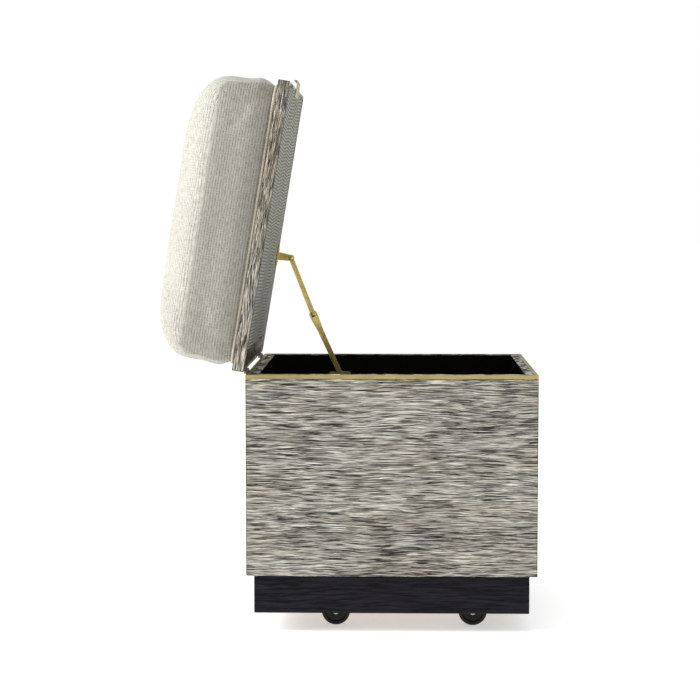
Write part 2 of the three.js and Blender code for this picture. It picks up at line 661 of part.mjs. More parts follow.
function addStay(box, lid) {
  const { shut, top, foot, elbow } = stayPivots();

  addPiece(box, 'stay_foot_bracket', stayFoot(), BRASS).position.set(0, foot.x, foot.y);
  const footPin = rivet(LOWER_ARM_X - GAP, FOOT_PLATE_X + STAY_PLATE / 2 - GAP);
  addPiece(box, 'stay_foot_rivet', footPin, BRASS).position.set(0, foot.x, foot.y);

  const lowerPlate = spread(lowerArmOutline(foot.distanceTo(elbow)), LOWER_ARM_X, LOWER_ARM_X + STAY_ARM);
  const rivetTail = domeX(3.5, 1.2, LOWER_ARM_X + STAY_ARM - 0.2, 1);
  rivetTail.translate(0, foot.distanceTo(elbow), 0);
  aim(addPiece(box, 'stay_lower_arm', joined(lowerPlate, rivetTail), BRASS), foot, elbow);

  const upperArm = spread(upperArmOutline(top.distanceTo(elbow)), UPPER_ARM_X, UPPER_ARM_X + STAY_ARM);
  aim(addPiece(box, 'stay_upper_arm', upperArm, BRASS), top, elbow);
  const elbowRivet = rivet(UPPER_ARM_X - GAP, UPPER_ARM_X + STAY_ARM);
  aim(addPiece(box, 'stay_elbow_rivet', elbowRivet, BRASS), elbow, foot);

  const bracket = addPiece(lid, 'stay_lid_bracket', stayTopBracket(), BRASS);
  bracket.position.set(0, shut.x, shut.y);
  const topPin = rivet(EAR_X - GAP, UPPER_ARM_X + STAY_ARM);
  addPiece(lid, 'stay_lid_rivet', topPin, BRASS).position.set(0, shut.x, shut.y);
}

// ---------------------------------------------------------------- assembly

const group = new THREE.Group();
const box = new THREE.Group();
const lidOnHinge = new THREE.Group();
const lid = new THREE.Group();
group.add(box, lidOnHinge);
lidOnHinge.add(lid);
lidOnHinge.position.set(0, HINGE_Y, HINGE_Z);
lidOnHinge.rotation.x = -OPEN_ANGLE;
lid.position.set(0, -HINGE_Y, CLOSED_GAP / 2);

addBox(box);
addPlinth(box);
addCasters(box);
addHinges(box, lidOnHinge);
addLid(lid);
addStay(box, lidOnHinge);

const extent = new THREE.Box3().setFromObject(group, true);
group.position.y = -(extent.min.y + extent.max.y) / 2;

export default group;
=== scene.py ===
"""Storage ottoman with its lid held open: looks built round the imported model.

Metres, +Z up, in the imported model's own frame: the front faces -Y, the hinges are at the back and the
stay is on the right (+X). Lid pieces are worked out in the lid's own frame, whose origin is on the hinge
axis, and are then turned to where the lid stands open.
"""

import json
import logging
import math
from collections.abc import Callable, Iterable, Sequence
from dataclasses import dataclass, field, replace
from enum import Enum

import bmesh
import bpy
import numpy as np
from bpy.types import Material, NodeSocket, NodeTree, Object
from mathutils import Matrix, Vector, noise
from mathutils.bvhtree import BVHTree


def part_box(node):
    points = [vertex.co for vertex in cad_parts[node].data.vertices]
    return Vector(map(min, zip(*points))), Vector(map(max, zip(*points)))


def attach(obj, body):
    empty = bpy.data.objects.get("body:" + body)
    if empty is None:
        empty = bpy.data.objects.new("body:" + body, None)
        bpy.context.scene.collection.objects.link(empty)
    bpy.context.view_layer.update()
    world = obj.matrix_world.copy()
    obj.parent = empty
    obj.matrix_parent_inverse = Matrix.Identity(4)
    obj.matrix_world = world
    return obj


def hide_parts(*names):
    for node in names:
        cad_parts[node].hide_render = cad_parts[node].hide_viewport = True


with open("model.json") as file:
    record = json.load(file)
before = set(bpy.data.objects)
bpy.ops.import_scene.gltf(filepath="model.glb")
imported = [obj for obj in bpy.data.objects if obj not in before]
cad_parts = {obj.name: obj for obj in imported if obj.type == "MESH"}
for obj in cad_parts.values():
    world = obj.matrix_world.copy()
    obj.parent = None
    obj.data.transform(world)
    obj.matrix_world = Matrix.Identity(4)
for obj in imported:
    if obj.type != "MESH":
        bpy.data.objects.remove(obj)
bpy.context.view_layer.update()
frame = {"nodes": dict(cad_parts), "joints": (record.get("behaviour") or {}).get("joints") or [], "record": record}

log = logging.getLogger("ottoman")
MM = 0.001
Colour = tuple[float, float, float]

RECORD = frame["record"]
BODY_OF = {node: body for body, nodes in RECORD["behaviour"]["bodies"].items() for node in nodes}
LID_JOINT = next(joint for joint in frame["joints"] if joint["name"] == "lid_hinge")
OPEN_ANGLE = math.radians(LID_JOINT["range_deg"][1])
LID_FRAME = Matrix.Translation(LID_JOINT["pos_m"]) @ Matrix.Rotation(-OPEN_ANGLE, 4, "X")
SIDES = ("front", "right", "rear", "left")
ENDS = ("front", "rear")
HANDS = ("left", "right")


def paint(*shown: float) -> Colour:
    """Linear colour from the red, green and blue of a display, each 0 to 255."""
    shares = [value / 255 for value in shown]
    return tuple(share / 12.92 if share <= 0.04045 else ((share + 0.055) / 1.055) ** 2.4 for share in shares)


# ---------------------------------------------------------------- mesh helpers


def new_object(name: str, data: bpy.types.ID) -> Object:
    """Links a mesh, camera or light into the scene as an object at the origin."""
    obj = bpy.data.objects.new(name, data)
    bpy.context.scene.collection.objects.link(obj)
    return obj


def mesh_from(name: str, points: Iterable[Sequence[float]], faces: Iterable[Sequence[int]] = (),
              edges: Iterable[Sequence[int]] = ()) -> Object:
    """An object from points and faces.

    Args:
        name: the piece's name.
        points: vertex places in metres.
        faces: vertex numbers of each face.
        edges: vertex numbers of each edge that belongs to no face.

    Returns:
        The new object.
    """
    mesh = bpy.data.meshes.new(name)
    mesh.from_pydata([tuple(point) for point in points], list(edges), [tuple(face) for face in faces])
    mesh.update()
    return new_object(name, mesh)


def bridge(rings: int, around: int, closed: bool = False) -> list[tuple[int, int, int, int]]:
    """Faces that join each ring of points to the next.

    Args:
        rings: number of rings.
        around: points in each ring.
        closed: whether the last ring joins the first.

    Returns:
        Vertex numbers of each face, ring by ring.
    """
    faces = []
    for ring in range(rings if closed else rings - 1):
        here, there = ring * around, (ring + 1) % rings * around
        for step in range(around):
            after = (step + 1) % around
            faces.append((here + step, here + after, there + after, there + step))
    return faces


def edit(obj: Object, change: Callable[[bmesh.types.BMesh], None]) -> None:
    """Runs a change on an object's mesh through bmesh.

    Args:
        obj: the object.
        change: what is done to its mesh.
    """
    shape = bmesh.new()
    shape.from_mesh(obj.data)
    change(shape)
    shape.to_mesh(obj.data)
    shape.free()
    obj.data.update()


def merge_doubles(shape: bmesh.types.BMesh) -> None:
    """Merges doubled vertices and turns every face outward."""
    bmesh.ops.remove_doubles(shape, verts=shape.verts, dist=2e-6)
    bmesh.ops.recalc_face_normals(shape, faces=shape.faces)


def join_flats(shape: bmesh.types.BMesh) -> None:
    """Joins triangles that lie in one plane into whole faces."""
    bmesh.ops.dissolve_limit(shape, angle_limit=math.radians(0.4), verts=shape.verts, edges=shape.edges)


def bake_modifiers(obj: Object) -> Object:
    """Replaces an object's mesh with the result of its modifiers and removes them."""
    graph = bpy.context.evaluated_depsgraph_get()
    made = bpy.data.meshes.new_from_object(obj.evaluated_get(graph), depsgraph=graph)
    obj.modifiers.clear()
    old = obj.data
    obj.data = made
    bpy.data.meshes.remove(old)
    return obj


def round_edges(obj: Object, width: float, segments: int = 2, sharper_than: float = 28) -> None:
    """Rounds an object's sharp edges, shades it smooth and keeps its flats flat.

    Args:
        obj: the piece, with merged vertices.
        width: how far the rounding reaches from each edge, in metres.
        segments: facets across the rounding.
        sharper_than: edges that turn by more than this many degrees are rounded.
    """
    bevel = obj.modifiers.new("round_edges", "BEVEL")
    bevel.width = width
    bevel.segments = segments
    bevel.limit_method = "ANGLE"
    bevel.angle_limit = math.radians(sharper_than)
    bevel.use_clamp_overlap = True
    bevel.harden_normals = True
    obj.data.shade_smooth()
    bake_modifiers(obj)


def place_in_lid(obj: Object) -> Object:
    """Moves a mesh that was made in the lid's frame to where the lid stands open."""
    obj.data.transform(LID_FRAME)
    return obj


def lid_box(node: str) -> tuple[Vector, Vector]:
    """Lowest and highest corner of a CAD node in the lid's frame."""
    turned = LID_FRAME.inverted()
    points = np.array([turned @ vertex.co for vertex in frame["nodes"][node].data.vertices])
    return Vector(points.min(0)), Vector(points.max(0))


def hand_over(
    obj: Object,
    body: str,
    material: Material | None = None,
    nodes: Sequence[str] = (),
) -> Object:
    """Gives a finished piece its material and body, and hides the CAD nodes that it stands for.

    Args:
        obj: the piece, final in shape and place.
        body: the CAD body that it moves with.
        material: its finish, or None where the mesh has it already.
        nodes: CAD nodes that it replaces.

    Returns:
        The same object.
    """
    if material:
        obj.data.materials.clear()
        obj.data.materials.append(material)
    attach(obj, body)
    if nodes:
        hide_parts(*nodes)
    log.info("%s: %d faces, on %s", obj.name, len(obj.data.polygons), body)
    return obj


def refined(node: str, material: Material, edge: float = 0.4 * MM, segments: int = 2,
            shape: Callable[[Object], None] | None = None) -> Object:
    """A finished piece from a CAD node: its vertices merged, its flats whole and its edges rounded.

    Args:
        node: the CAD node's name.
        material: the finish.
        edge: how far the rounding reaches, in metres.
        segments: facets across each rounding.
        shape: an extra step on the merged copy, before its edges are rounded.

    Returns:
        The piece, which replaces the node.
    """
    obj = new_object(f"{node}_finished", frame["nodes"][node].data.copy())
    obj.data.name = obj.name
    carried = obj.data.attributes.get("custom_normal")
    if carried:
        obj.data.attributes.remove(carried)
    edit(obj, merge_doubles)
    edit(obj, join_flats)
    if shape:
        shape(obj)
    round_edges(obj, edge, segments)
    return hand_over(obj, BODY_OF[node], material, [node])


# ---------------------------------------------------------------- node trees


class Graph:
    """A short way to build a node tree."""

    def __init__(self, tree: NodeTree) -> None:
        """Holds the tree that nodes are added to."""
        self.tree = tree

    def feed(self, socket: NodeSocket, value: object) -> None:
        """Gives an input what it needs.

        Args:
            socket: the input.
            value: a socket to link or a value to set; a colour of three gets its alpha.
        """
        if isinstance(value, NodeSocket):
            self.tree.links.new(value, socket)
        else:
            is_colour = socket.type == "RGBA" and len(value) == 3
            socket.default_value = (*value, 1) if is_colour else value

    def add(self, kind: str, inputs: dict | None = None, **settings: object) -> bpy.types.Node:
        """Adds a node.

        Args:
            kind: the node's type name.
            inputs: values or sockets for its inputs, by name or number.
            **settings: the node's own properties.

        Returns:
            The new node.
        """
        node = self.tree.nodes.new(kind)
        for key, value in settings.items():
            setattr(node, key, value)
        for key, value in (inputs or {}).items():
            self.feed(node.inputs[key], value)
        return node

    def math(self, operation: str, first: object, second: object = 0.0) -> NodeSocket:
        """A maths node's result."""
        return self.add("ShaderNodeMath", {0: first, 1: second}, operation=operation).outputs[0]

    def plus(self, first: object, second: object) -> NodeSocket:
        """The sum of two values."""
        return self.math("ADD", first, second)

    def minus(self, first: object, second: object) -> NodeSocket:
        """The first value less the second."""
        return self.math("SUBTRACT", first, second)

    def times(self, first: object, second: object) -> NodeSocket:
        """The product of two values."""
        return self.math("MULTIPLY", first, second)

    def over(self, first: object, second: object) -> NodeSocket:
        """The first value divided by the second."""
        return self.math("DIVIDE", first, second)

    def ramp(self, value: NodeSocket, low: float, high: float,
             start: float = 0.0, end: float = 1.0) -> NodeSocket:
        """A value rising smoothly from start to end while the input goes from low to high."""
        limits = {0: value, 1: low, 2: high, 3: start, 4: end}
        return self.add("ShaderNodeMapRange", limits, interpolation_type="SMOOTHSTEP").outputs[0]

    def mix(self, share: object, first: object, second: object) -> NodeSocket:
        """Two colours mixed by a share."""
        return self.add("ShaderNodeMix", data_type="RGBA", inputs={0: share, 6: first, 7: second}).outputs[2]

    def tint(self, mask: NodeSocket, amount: float, first: object, second: object) -> NodeSocket:
        """The first colour with an amount of the second laid over it where the mask is up."""
        return self.mix(self.times(mask, amount), first, second)

    def noise(self, place: NodeSocket, factors: object, shift: Sequence[float] = (0, 0, 0),
              detail: float = 2.0, roughness: float = 0.5) -> NodeSocket:
        """A noise value between 0 and 1.

        Args:
            place: where the noise is read.
            factors: how many of its patches pass in a metre along each axis.
            shift: an offset that keeps it apart from other noises.
            detail: octaves of finer noise.
            roughness: weight of the finer octaves.

        Returns:
            The noise's value.
        """
        scaled = self.stretch(place, factors, shift)
        inputs = {"Vector": scaled, "Scale": 1.0, "Detail": detail, "Roughness": roughness}
        return self.add("ShaderNodeTexNoise", inputs).outputs[0]

    def stretch(self, vector: NodeSocket, factors: object, shift: Sequence[float] = (0, 0, 0)) -> NodeSocket:
        """A vector multiplied by factors on each axis and shifted."""
        scaled = self.add("ShaderNodeVectorMath", {0: vector, 1: factors}, operation="MULTIPLY").outputs[0]
        return self.add("ShaderNodeVectorMath", {0: scaled, 1: shift}, operation="ADD").outputs[0]

    def vector(self, x: object, y: object, z: object) -> NodeSocket:
        """A vector from three values."""
        return self.add("ShaderNodeCombineXYZ", {0: x, 1: y, 2: z}).outputs[0]

    def split(self, vector: NodeSocket) -> Sequence[NodeSocket]:
        """A vector's three values."""
        return self.add("ShaderNodeSeparateXYZ", {0: vector}).outputs[:3]

    def normal(self) -> NodeSocket:
        """The surface's own normal."""
        return self.add("ShaderNodeNewGeometry").outputs["Normal"]


def shader_group(name: str, inputs: dict[str, float | str], outputs: Sequence[str],
                 build: Callable[[Graph, dict, dict], None]) -> NodeTree:
    """A shader node group, made once.

    Args:
        name: the group's name.
        inputs: default value of each input, or "vector" for a vector input.
        outputs: names of the value outputs.
        build: fills the tree; it gets the graph, the input sockets and a dict to put the outputs in.

    Returns:
        The group.
    """
    tree = bpy.data.node_groups.get(name)
    if tree:
        return tree
    tree = bpy.data.node_groups.new(name, "ShaderNodeTree")
    for key, default in inputs.items():
        kind = "NodeSocketVector" if default == "vector" else "NodeSocketFloat"
        socket = tree.interface.new_socket(key, in_out="INPUT", socket_type=kind)
        if default != "vector":
            socket.default_value = default
    for key in outputs:
        tree.interface.new_socket(key, in_out="OUTPUT", socket_type="NodeSocketFloat")
    graph = Graph(tree)
    source = tree.nodes.new("NodeGroupInput")
    target = tree.nodes.new("NodeGroupOutput")
    results: dict[str, NodeSocket] = {}
    build(graph, {key: source.outputs[key] for key in inputs}, results)
    for key, socket in results.items():
        tree.links.new(socket, target.inputs[key])
    return tree


# ---------------------------------------------------------------- shared effects


def grain_group() -> NodeTree:
    """Open-pored wood: streaks along X with pale filler, dark pores and broad figure."""

    def build(graph: Graph, given: dict, results: dict) -> None:
        """Fills the tree."""
        place = given["Place"]
        x, y, z = graph.split(place)
        wave = graph.noise(place, (7, 18, 7))
        ripple = graph.noise(place, (50, 130, 50), detail=1)
        drift = graph.times(graph.minus(wave, 0.5), 0.014)
        shake = graph.times(graph.minus(ripple, 0.5), 0.0018)
        bent = graph.vector(x, graph.plus(graph.plus(y, drift), shake), z)
        run = graph.over(1.0, given["Streak length"])
        fine = graph.over(1.0, given["Streak width"])
        streak_scale = graph.vector(run, fine, 90.0)
        streak = graph.noise(bent, streak_scale, detail=3, roughness=0.62)
        second_scale = graph.vector(graph.times(run, 2.1), graph.times(fine, 1.9), 90.0)
        second = graph.noise(bent, second_scale, (7, 3, 1))
        broad = graph.noise(bent, (5, 55, 20), (2, 9, 4), detail=3, roughness=0.55)
        tone = graph.plus(graph.times(streak, 0.62), graph.times(second, 0.38))
        results["Tone"] = graph.ramp(tone, 0.425, 0.525)
        results["Figure"] = graph.ramp(broad, 0.3, 0.7)
        pore_scale = graph.vector(graph.times(run, 0.8), graph.times(fine, 1.35), 70.0)
        pores = graph.noise(bent, pore_scale, (1, 5, 8), roughness=0.4)
        crowd = graph.noise(place, (6, 34, 12), (4, 1, 6))
        limit = graph.minus(0.6, graph.times(crowd, 0.14))
        above = graph.minus(pores, limit)
        results["Pore"] = graph.ramp(above, -0.01, 0.02)
        filler = graph.noise(bent, pore_scale, (11, 2, 3), roughness=0.45)
        results["Filler"] = graph.ramp(filler, 0.55, 0.7)
        warmth = graph.noise(place, (7, 20, 14), (3, 8, 2))
        results["Warmth"] = graph.ramp(warmth, 0.42, 0.66)
        results["Height"] = graph.minus(results["Tone"], graph.times(results["Pore"], 0.9))

    return shader_group(
        "wood_grain",
        {"Place": "vector", "Streak length": 0.045, "Streak width": 0.0046},
        ("Tone", "Figure", "Pore", "Filler", "Warmth", "Height"),
        build,
    )


def edge_group() -> NodeTree:
    """A mask that rises to 1 along the sharp edges of a piece."""

    def build(graph: Graph, given: dict, results: dict) -> None:
        """Fills the tree."""
        rounded = graph.add("ShaderNodeBevel", {"Radius": given["Width"]}, samples=6).outputs[0]
        both = {0: rounded, 1: graph.normal()}
        along = graph.add("ShaderNodeVectorMath", both, operation="DOT_PRODUCT").outputs["Value"]
        results["Mask"] = graph.ramp(graph.minus(1.0, along), 0.005, 0.11)

    return shader_group("edge_mask", {"Width": 0.0015}, ("Mask",), build)


def weave_group() -> NodeTree:
    """Plain weave of uneven yarns: the height and tone of threads along both directions, with slubs."""

    def build(graph: Graph, given: dict, results: dict) -> None:
        """Fills the tree."""
        place = given["Place"]
        x, y, _ = graph.split(place)
        slow = graph.noise(place, (60, 60, 60))
        sway = graph.times(graph.minus(slow, 0.5), 0.0022)
        turns = graph.over(math.pi, given["Pitch"])
        first = graph.times(graph.plus(x, sway), turns)
        second = graph.times(graph.minus(y, sway), turns)
        warp = graph.math("ABSOLUTE", graph.math("SINE", first))
        weft = graph.math("ABSOLUTE", graph.math("SINE", second))
        over = graph.times(graph.math("COSINE", first), graph.math("COSINE", second))
        side = graph.ramp(over, -0.25, 0.25)
        above = graph.times(graph.times(weft, side), 0.35)
        plain = graph.plus(above, graph.times(warp, graph.minus(1.0, graph.times(side, 0.35))))
        fine = graph.over(1.0, given["Slub width"])
        run = graph.over(1.0, given["Slub length"])
        up = graph.noise(place, graph.vector(fine, run, 1.0), (3, 7, 0), roughness=0.6)
        level = graph.noise(place, graph.vector(run, fine, 1.0), (9, 2, 5), roughness=0.6)
        results["Warp slub"] = graph.ramp(up, 0.36, 0.66)
        results["Weft slub"] = graph.ramp(level, 0.36, 0.66)
        fuzz = graph.noise(place, (900, 900, 900), detail=1)
        body = graph.plus(graph.times(plain, 0.55), graph.times(up, 0.5))
        body = graph.plus(body, graph.times(level, 0.4))
        results["Height"] = graph.plus(body, graph.times(fuzz, 0.12))
        results["Gap"] = graph.ramp(plain, 0.45, 0.05)

    return shader_group(
        "uneven_weave",
        {"Place": "vector", "Pitch": 0.0011, "Slub width": 0.0016, "Slub length": 0.012},
        ("Height", "Gap", "Warp slub", "Weft slub"),
        build,
    )


def mottle_group() -> NodeTree:
    """Soft patches and a light settling of dust for any finish."""

    def build(graph: Graph, given: dict, results: dict) -> None:
        """Fills the tree."""
        rate = graph.over(1.0, given["Size"])
        patch = graph.noise(given["Place"], graph.vector(rate, rate, rate), detail=4, roughness=0.55)
        results["Patch"] = graph.ramp(patch, 0.32, 0.68)
        up = graph.split(graph.normal())[2]
        speck = graph.noise(given["Place"], (420, 420, 420))
        results["Dust"] = graph.times(graph.ramp(up, 0.4, 1.0), graph.ramp(speck, 0.45, 0.75))

    return shader_group("mottle", {"Place": "vector", "Size": 0.09}, ("Patch", "Dust"), build)


def brushed_group() -> NodeTree:
    """Fine lines of a brushed or rolled metal, along X."""

    def build(graph: Graph, given: dict, results: dict) -> None:
        """Fills the tree."""
        place = given["Place"]
        lines = graph.noise(place, (30, 2600, 2600))
        bands = graph.noise(place, (4, 260, 260), (5, 5, 5), detail=3)
        results["Lines"] = graph.ramp(lines, 0.3, 0.7)
        results["Bands"] = graph.ramp(bands, 0.3, 0.7)
        pits = graph.noise(place, (700, 700, 700), detail=1)
        results["Pits"] = graph.ramp(pits, 0.68, 0.78)

    return shader_group("brushed", {"Place": "vector"}, ("Lines", "Bands", "Pits"), build)


class Along(Enum):
    """The direction that a piece's grain or brushing runs in, in its own frame."""

    X = "x"
    Y = "y"
    Z = "z"


class Finish:
    """A material being built: its tree, its Principled shader and the piece's own coordinates."""

    def __init__(self, name: str, along: Along = Along.X, tilt: float = 0.0) -> None:
        """Makes the material.

        Args:
            name: the material's name.
            along: the axis that becomes the pattern's X.
            tilt: turn about X, in radians, that lays the piece's own frame along the world's.
        """
        self.material = bpy.data.materials.new(name)
        self.material.use_nodes = True
        self.graph = Graph(self.material.node_tree)
        self.shader = self.material.node_tree.nodes["Principled BSDF"]
        self.along = along
        self.tilt = tilt

    def place(self) -> NodeSocket:
        """Object coordinates with the pattern's direction as X and the height across it as Y."""
        graph = self.graph
        source = graph.add("ShaderNodeTexCoord").outputs["Object"]
        turned = graph.add("ShaderNodeMapping", {"Vector": source, "Rotation": (self.tilt, 0, 0)})
        x, y, z = graph.split(turned.outputs[0])
        order = {Along.X: (x, z, y), Along.Y: (y, z, x), Along.Z: (z, x, y)}[self.along]
        return graph.vector(*order)

    def uv(self, layer: str) -> NodeSocket:
        """The piece's own UV map, in metres."""
        return self.graph.add("ShaderNodeUVMap", uv_map=layer).outputs[0]

    def group(self, tree: NodeTree, **inputs: object) -> bpy.types.NodeOutputs:
        """Places a shared effect and returns its outputs; names are given with _ for spaces."""
        named = {key.replace("_", " "): value for key, value in inputs.items()}
        return self.graph.add("ShaderNodeGroup", named, node_tree=tree).outputs

    def set(self, **values: object) -> None:
        """Sets the shader's inputs, by values or sockets; names are given with _ for spaces."""
        for key, value in values.items():
            self.graph.feed(self.shader.inputs[key.replace("_", " ")], value)

    def bump(self, height: NodeSocket, distance: float, strength: float = 1.0) -> None:
        """Feeds a height to the shader's normal."""
        inputs = {"Height": height, "Distance": distance, "Strength": strength}
        self.set(Normal=self.graph.add("ShaderNodeBump", inputs).outputs[0])


# ---------------------------------------------------------------- finishes


@dataclass(frozen=True)
class Coat:
    """What every finish has: a name, the way that its pattern runs and the tilt of what it lies on."""

    name: str
    along: Along = field(default=Along.X, kw_only=True)
    tilt: float = field(default=0.0, kw_only=True)

    def make(self) -> Material:
        """Builds the material."""
        finish = Finish(self.name, self.along, self.tilt)
        self.lay(finish, finish.graph, finish.place())
        return finish.material

    def lay(self, finish: Finish, graph: Graph, place: NodeSocket) -> None:
        """Fills the material's tree.

        Args:
            finish: the material being built.
            graph: its tree.
            place: the piece's own coordinates, with the pattern's direction as X.
        """
        raise NotImplementedError


@dataclass(frozen=True)
class CerusedOak(Coat):
    """Grey oak veneer with pale filler rubbed into its open pores."""

    streak_length: float = 0.031
    streak_width: float = 0.0012
    dark: Colour = paint(38, 38, 34)
    middle: Colour = paint(172, 169, 157)
    pale: Colour = paint(255, 253, 240)
    warm: Colour = paint(182, 163, 138)
    pore: Colour = paint(12, 12, 8)
    roughness: float = 0.62

    def lay(self, finish: Finish, graph: Graph, place: NodeSocket) -> None:
        """Fills the material's tree."""
        grain = finish.group(
            grain_group(), Place=place, Streak_length=self.streak_length, Streak_width=self.streak_width
        )
        ground = graph.mix(grain["Tone"], self.dark, self.middle)
        ground = graph.tint(grain["Figure"], 0.16, ground, self.pale)
        ground = graph.tint(grain["Warmth"], 0.28, ground, self.warm)
        ground = graph.tint(grain["Filler"], 0.85, ground, self.pale)
        ground = graph.tint(grain["Pore"], 0.95, ground, self.pore)
        # darkened towards the pore colour in broken patches along the sharp edges
        edge = finish.group(edge_group(), Width=0.0022)["Mask"]
        edge_breaks = graph.noise(place, (260, 260, 260))
        edge_patches = graph.times(edge, graph.ramp(edge_breaks, 0.4, 0.56))
        colour = graph.tint(edge_patches, 0.85, ground, self.pore)
        rough = graph.ramp(grain["Filler"], 0, 1, self.roughness, self.roughness + 0.18)
        finish.set(Base_Color=colour, Roughness=rough, Specular_IOR_Level=0.35)
        finish.bump(grain["Height"], 0.0005, 0.8)


@dataclass(frozen=True)
class StainedWood(Coat):
    """Dark stained wood with a satin face and rubbed edges."""

    dark: Colour = paint(7, 7, 11)
    light: Colour = paint(27, 27, 36)
    brown: Colour = paint(28, 22, 21)
    rubbed: Colour = paint(96, 94, 92)
    roughness: float = 0.55

    def lay(self, finish: Finish, graph: Graph, place: NodeSocket) -> None:
        """Fills the material's tree."""
        grain = finish.group(grain_group(), Place=place, Streak_length=0.06, Streak_width=0.0034)
        mottle = finish.group(mottle_group(), Place=place, Size=0.11)
        ground = graph.mix(grain["Tone"], self.dark, self.light)
        ground = graph.tint(mottle["Patch"], 0.3, ground, self.brown)
        ground = graph.tint(grain["Pore"], 0.6, ground, self.dark)
        edge = finish.group(edge_group(), Width=0.0012)["Mask"]
        edge_breaks = graph.noise(place, (120, 120, 120), detail=3)
        edge_patches = graph.times(edge, graph.ramp(edge_breaks, 0.42, 0.62))
        colour = graph.tint(edge_patches, 0.5, ground, self.rubbed)
        rough = graph.ramp(grain["Tone"], 0, 1, self.roughness + 0.12, self.roughness - 0.06)
        finish.set(Base_Color=colour, Roughness=rough, Specular_IOR_Level=0.12)
        finish.bump(grain["Height"], 0.0002, 0.6)


@dataclass(frozen=True)
class LayeredBoard(Coat):
    """Plywood: flat faces with broad figure and thin plies along its edges."""

    ply: float = 1.6 * MM
    face: Colour = paint(176, 146, 106)
    inner: Colour = paint(134, 106, 74)

    def lay(self, finish: Finish, graph: Graph, place: NodeSocket) -> None:
        """Fills the material's tree."""
        grain = finish.group(grain_group(), Place=graph.stretch(place, (1, 0.35, 1)), Streak_length=0.09)
        plies = graph.math("SINE", graph.times(graph.split(place)[1], math.pi / self.ply))
        upright = graph.math("ABSOLUTE", graph.split(graph.normal())[2])
        bands = graph.times(graph.ramp(plies, -0.3, 0.3), graph.ramp(upright, 0.6, 0.3))
        ground = graph.tint(grain["Figure"], 0.5, self.face, self.inner)
        ground = graph.tint(bands, 0.7, ground, self.inner)
        finish.set(Base_Color=ground, Roughness=0.72, Specular_IOR_Level=0.3)
        finish.bump(grain["Tone"], 0.0002, 0.5)


@dataclass(frozen=True)
class Metal(Coat):
    """Rolled or polished metal with fine lines, handling marks and brighter edges."""

    colour: Colour
    tarnish: Colour
    roughness: float = 0.3
    wear: float = 0.4
    lines: float = 0.5

    def lay(self, finish: Finish, graph: Graph, place: NodeSocket) -> None:
        """Fills the material's tree."""
        brushed = finish.group(brushed_group(), Place=place)
        mottle = finish.group(mottle_group(), Place=place, Size=0.035)
        dull = graph.times(mottle["Patch"], 0.45)
        ground = graph.mix(dull, self.colour, self.tarnish)
        ground = graph.tint(brushed["Bands"], 0.25 * self.lines, ground, self.tarnish)
        ground = graph.tint(brushed["Pits"], 0.3, ground, self.tarnish)
        edge = finish.group(edge_group(), Width=0.0006)["Mask"]
        bright = tuple(min(1.0, value * 1.35 + 0.03) for value in self.colour)
        ground = graph.tint(edge, self.wear, ground, bright)
        matt = graph.plus(graph.times(brushed["Lines"], 0.5), dull)
        rough = graph.ramp(matt, 0, 1, self.roughness - 0.07, self.roughness + 0.12)
        finish.set(Base_Color=ground, Roughness=rough, Metallic=1.0)
        finish.bump(brushed["Lines"], 0.00004, self.lines)


@dataclass(frozen=True)
class SlubLinen(Coat):
    """Ivory linen with uneven yarns, laid out by the piece's own weave map, with painted shade in its weave's gaps
    and low places and on its side panels.
    """

    ground: Colour = paint(190, 188, 176)
    light: Colour = paint(214, 213, 202)
    shade: Colour = paint(86, 82, 72)
    pitch: float = 0.0042
    # share of painted shade laid on the side panels, so they read darker than the strip as if turned from the
    # light
    turned: float = 0.36

    def lay(self, finish: Finish, graph: Graph, place: NodeSocket) -> None:
        """Fills the material's tree."""
        weave = finish.group(weave_group(), Place=finish.uv("weave"), Pitch=self.pitch)
        mottle = finish.group(mottle_group(), Place=place, Size=0.12)
        colour = graph.mix(graph.ramp(weave["Warp slub"], 0.0, 1.0, 0.66, 1.0), self.shade, self.ground)
        colour = graph.tint(weave["Weft slub"], 0.28, colour, self.light)
        # painted shade: the gaps between threads and the low places of the weave are darkened towards the shade
        # colour
        colour = graph.tint(weave["Gap"], 0.75, colour, self.shade)
        colour = graph.mix(graph.ramp(weave["Height"], 0.85, 0.35, 0.0, 0.45), colour, self.shade)
        colour = graph.tint(mottle["Patch"], 0.1, colour, self.shade)
        # painted shade: the side panels, marked by the cover's panel attribute, are darkened towards the shade
        # colour
        panel = graph.add("ShaderNodeAttribute", attribute_name="panel").outputs["Fac"]
        colour = graph.tint(panel, self.turned, colour, self.shade)
        finish.set(Base_Color=colour, Roughness=0.93, Specular_IOR_Level=0.2)
        finish.set(Sheen_Weight=0.15, Sheen_Roughness=0.5)
        finish.bump(weave["Height"], 0.0007, 0.8)


@dataclass(frozen=True)
class FineCloth(Coat):
    """A closely woven cloth for piping, laid out by the piece's own weave map."""

    ground: Colour = paint(222, 215, 198)
    shade: Colour = paint(176, 166, 146)
    pitch: float = 0.0007

    def lay(self, finish: Finish, graph: Graph, place: NodeSocket) -> None:
        """Fills the material's tree."""
        weave = finish.group(
            weave_group(), Place=finish.uv("weave"), Pitch=self.pitch, Slub_width=0.0012, Slub_length=0.008
        )
        mottle = finish.group(mottle_group(), Place=place, Size=0.06)
        colour = graph.tint(weave["Warp slub"], 0.7, self.shade, self.ground)
        # painted shade between the threads
        colour = graph.tint(weave["Gap"], 0.4, colour, self.shade)
        colour = graph.tint(mottle["Patch"], 0.15, colour, self.shade)
        finish.set(Base_Color=colour, Roughness=0.9, Specular_IOR_Level=0.2, Sheen_Weight=0.1)
        finish.bump(weave["Height"], 0.0003, 0.6)


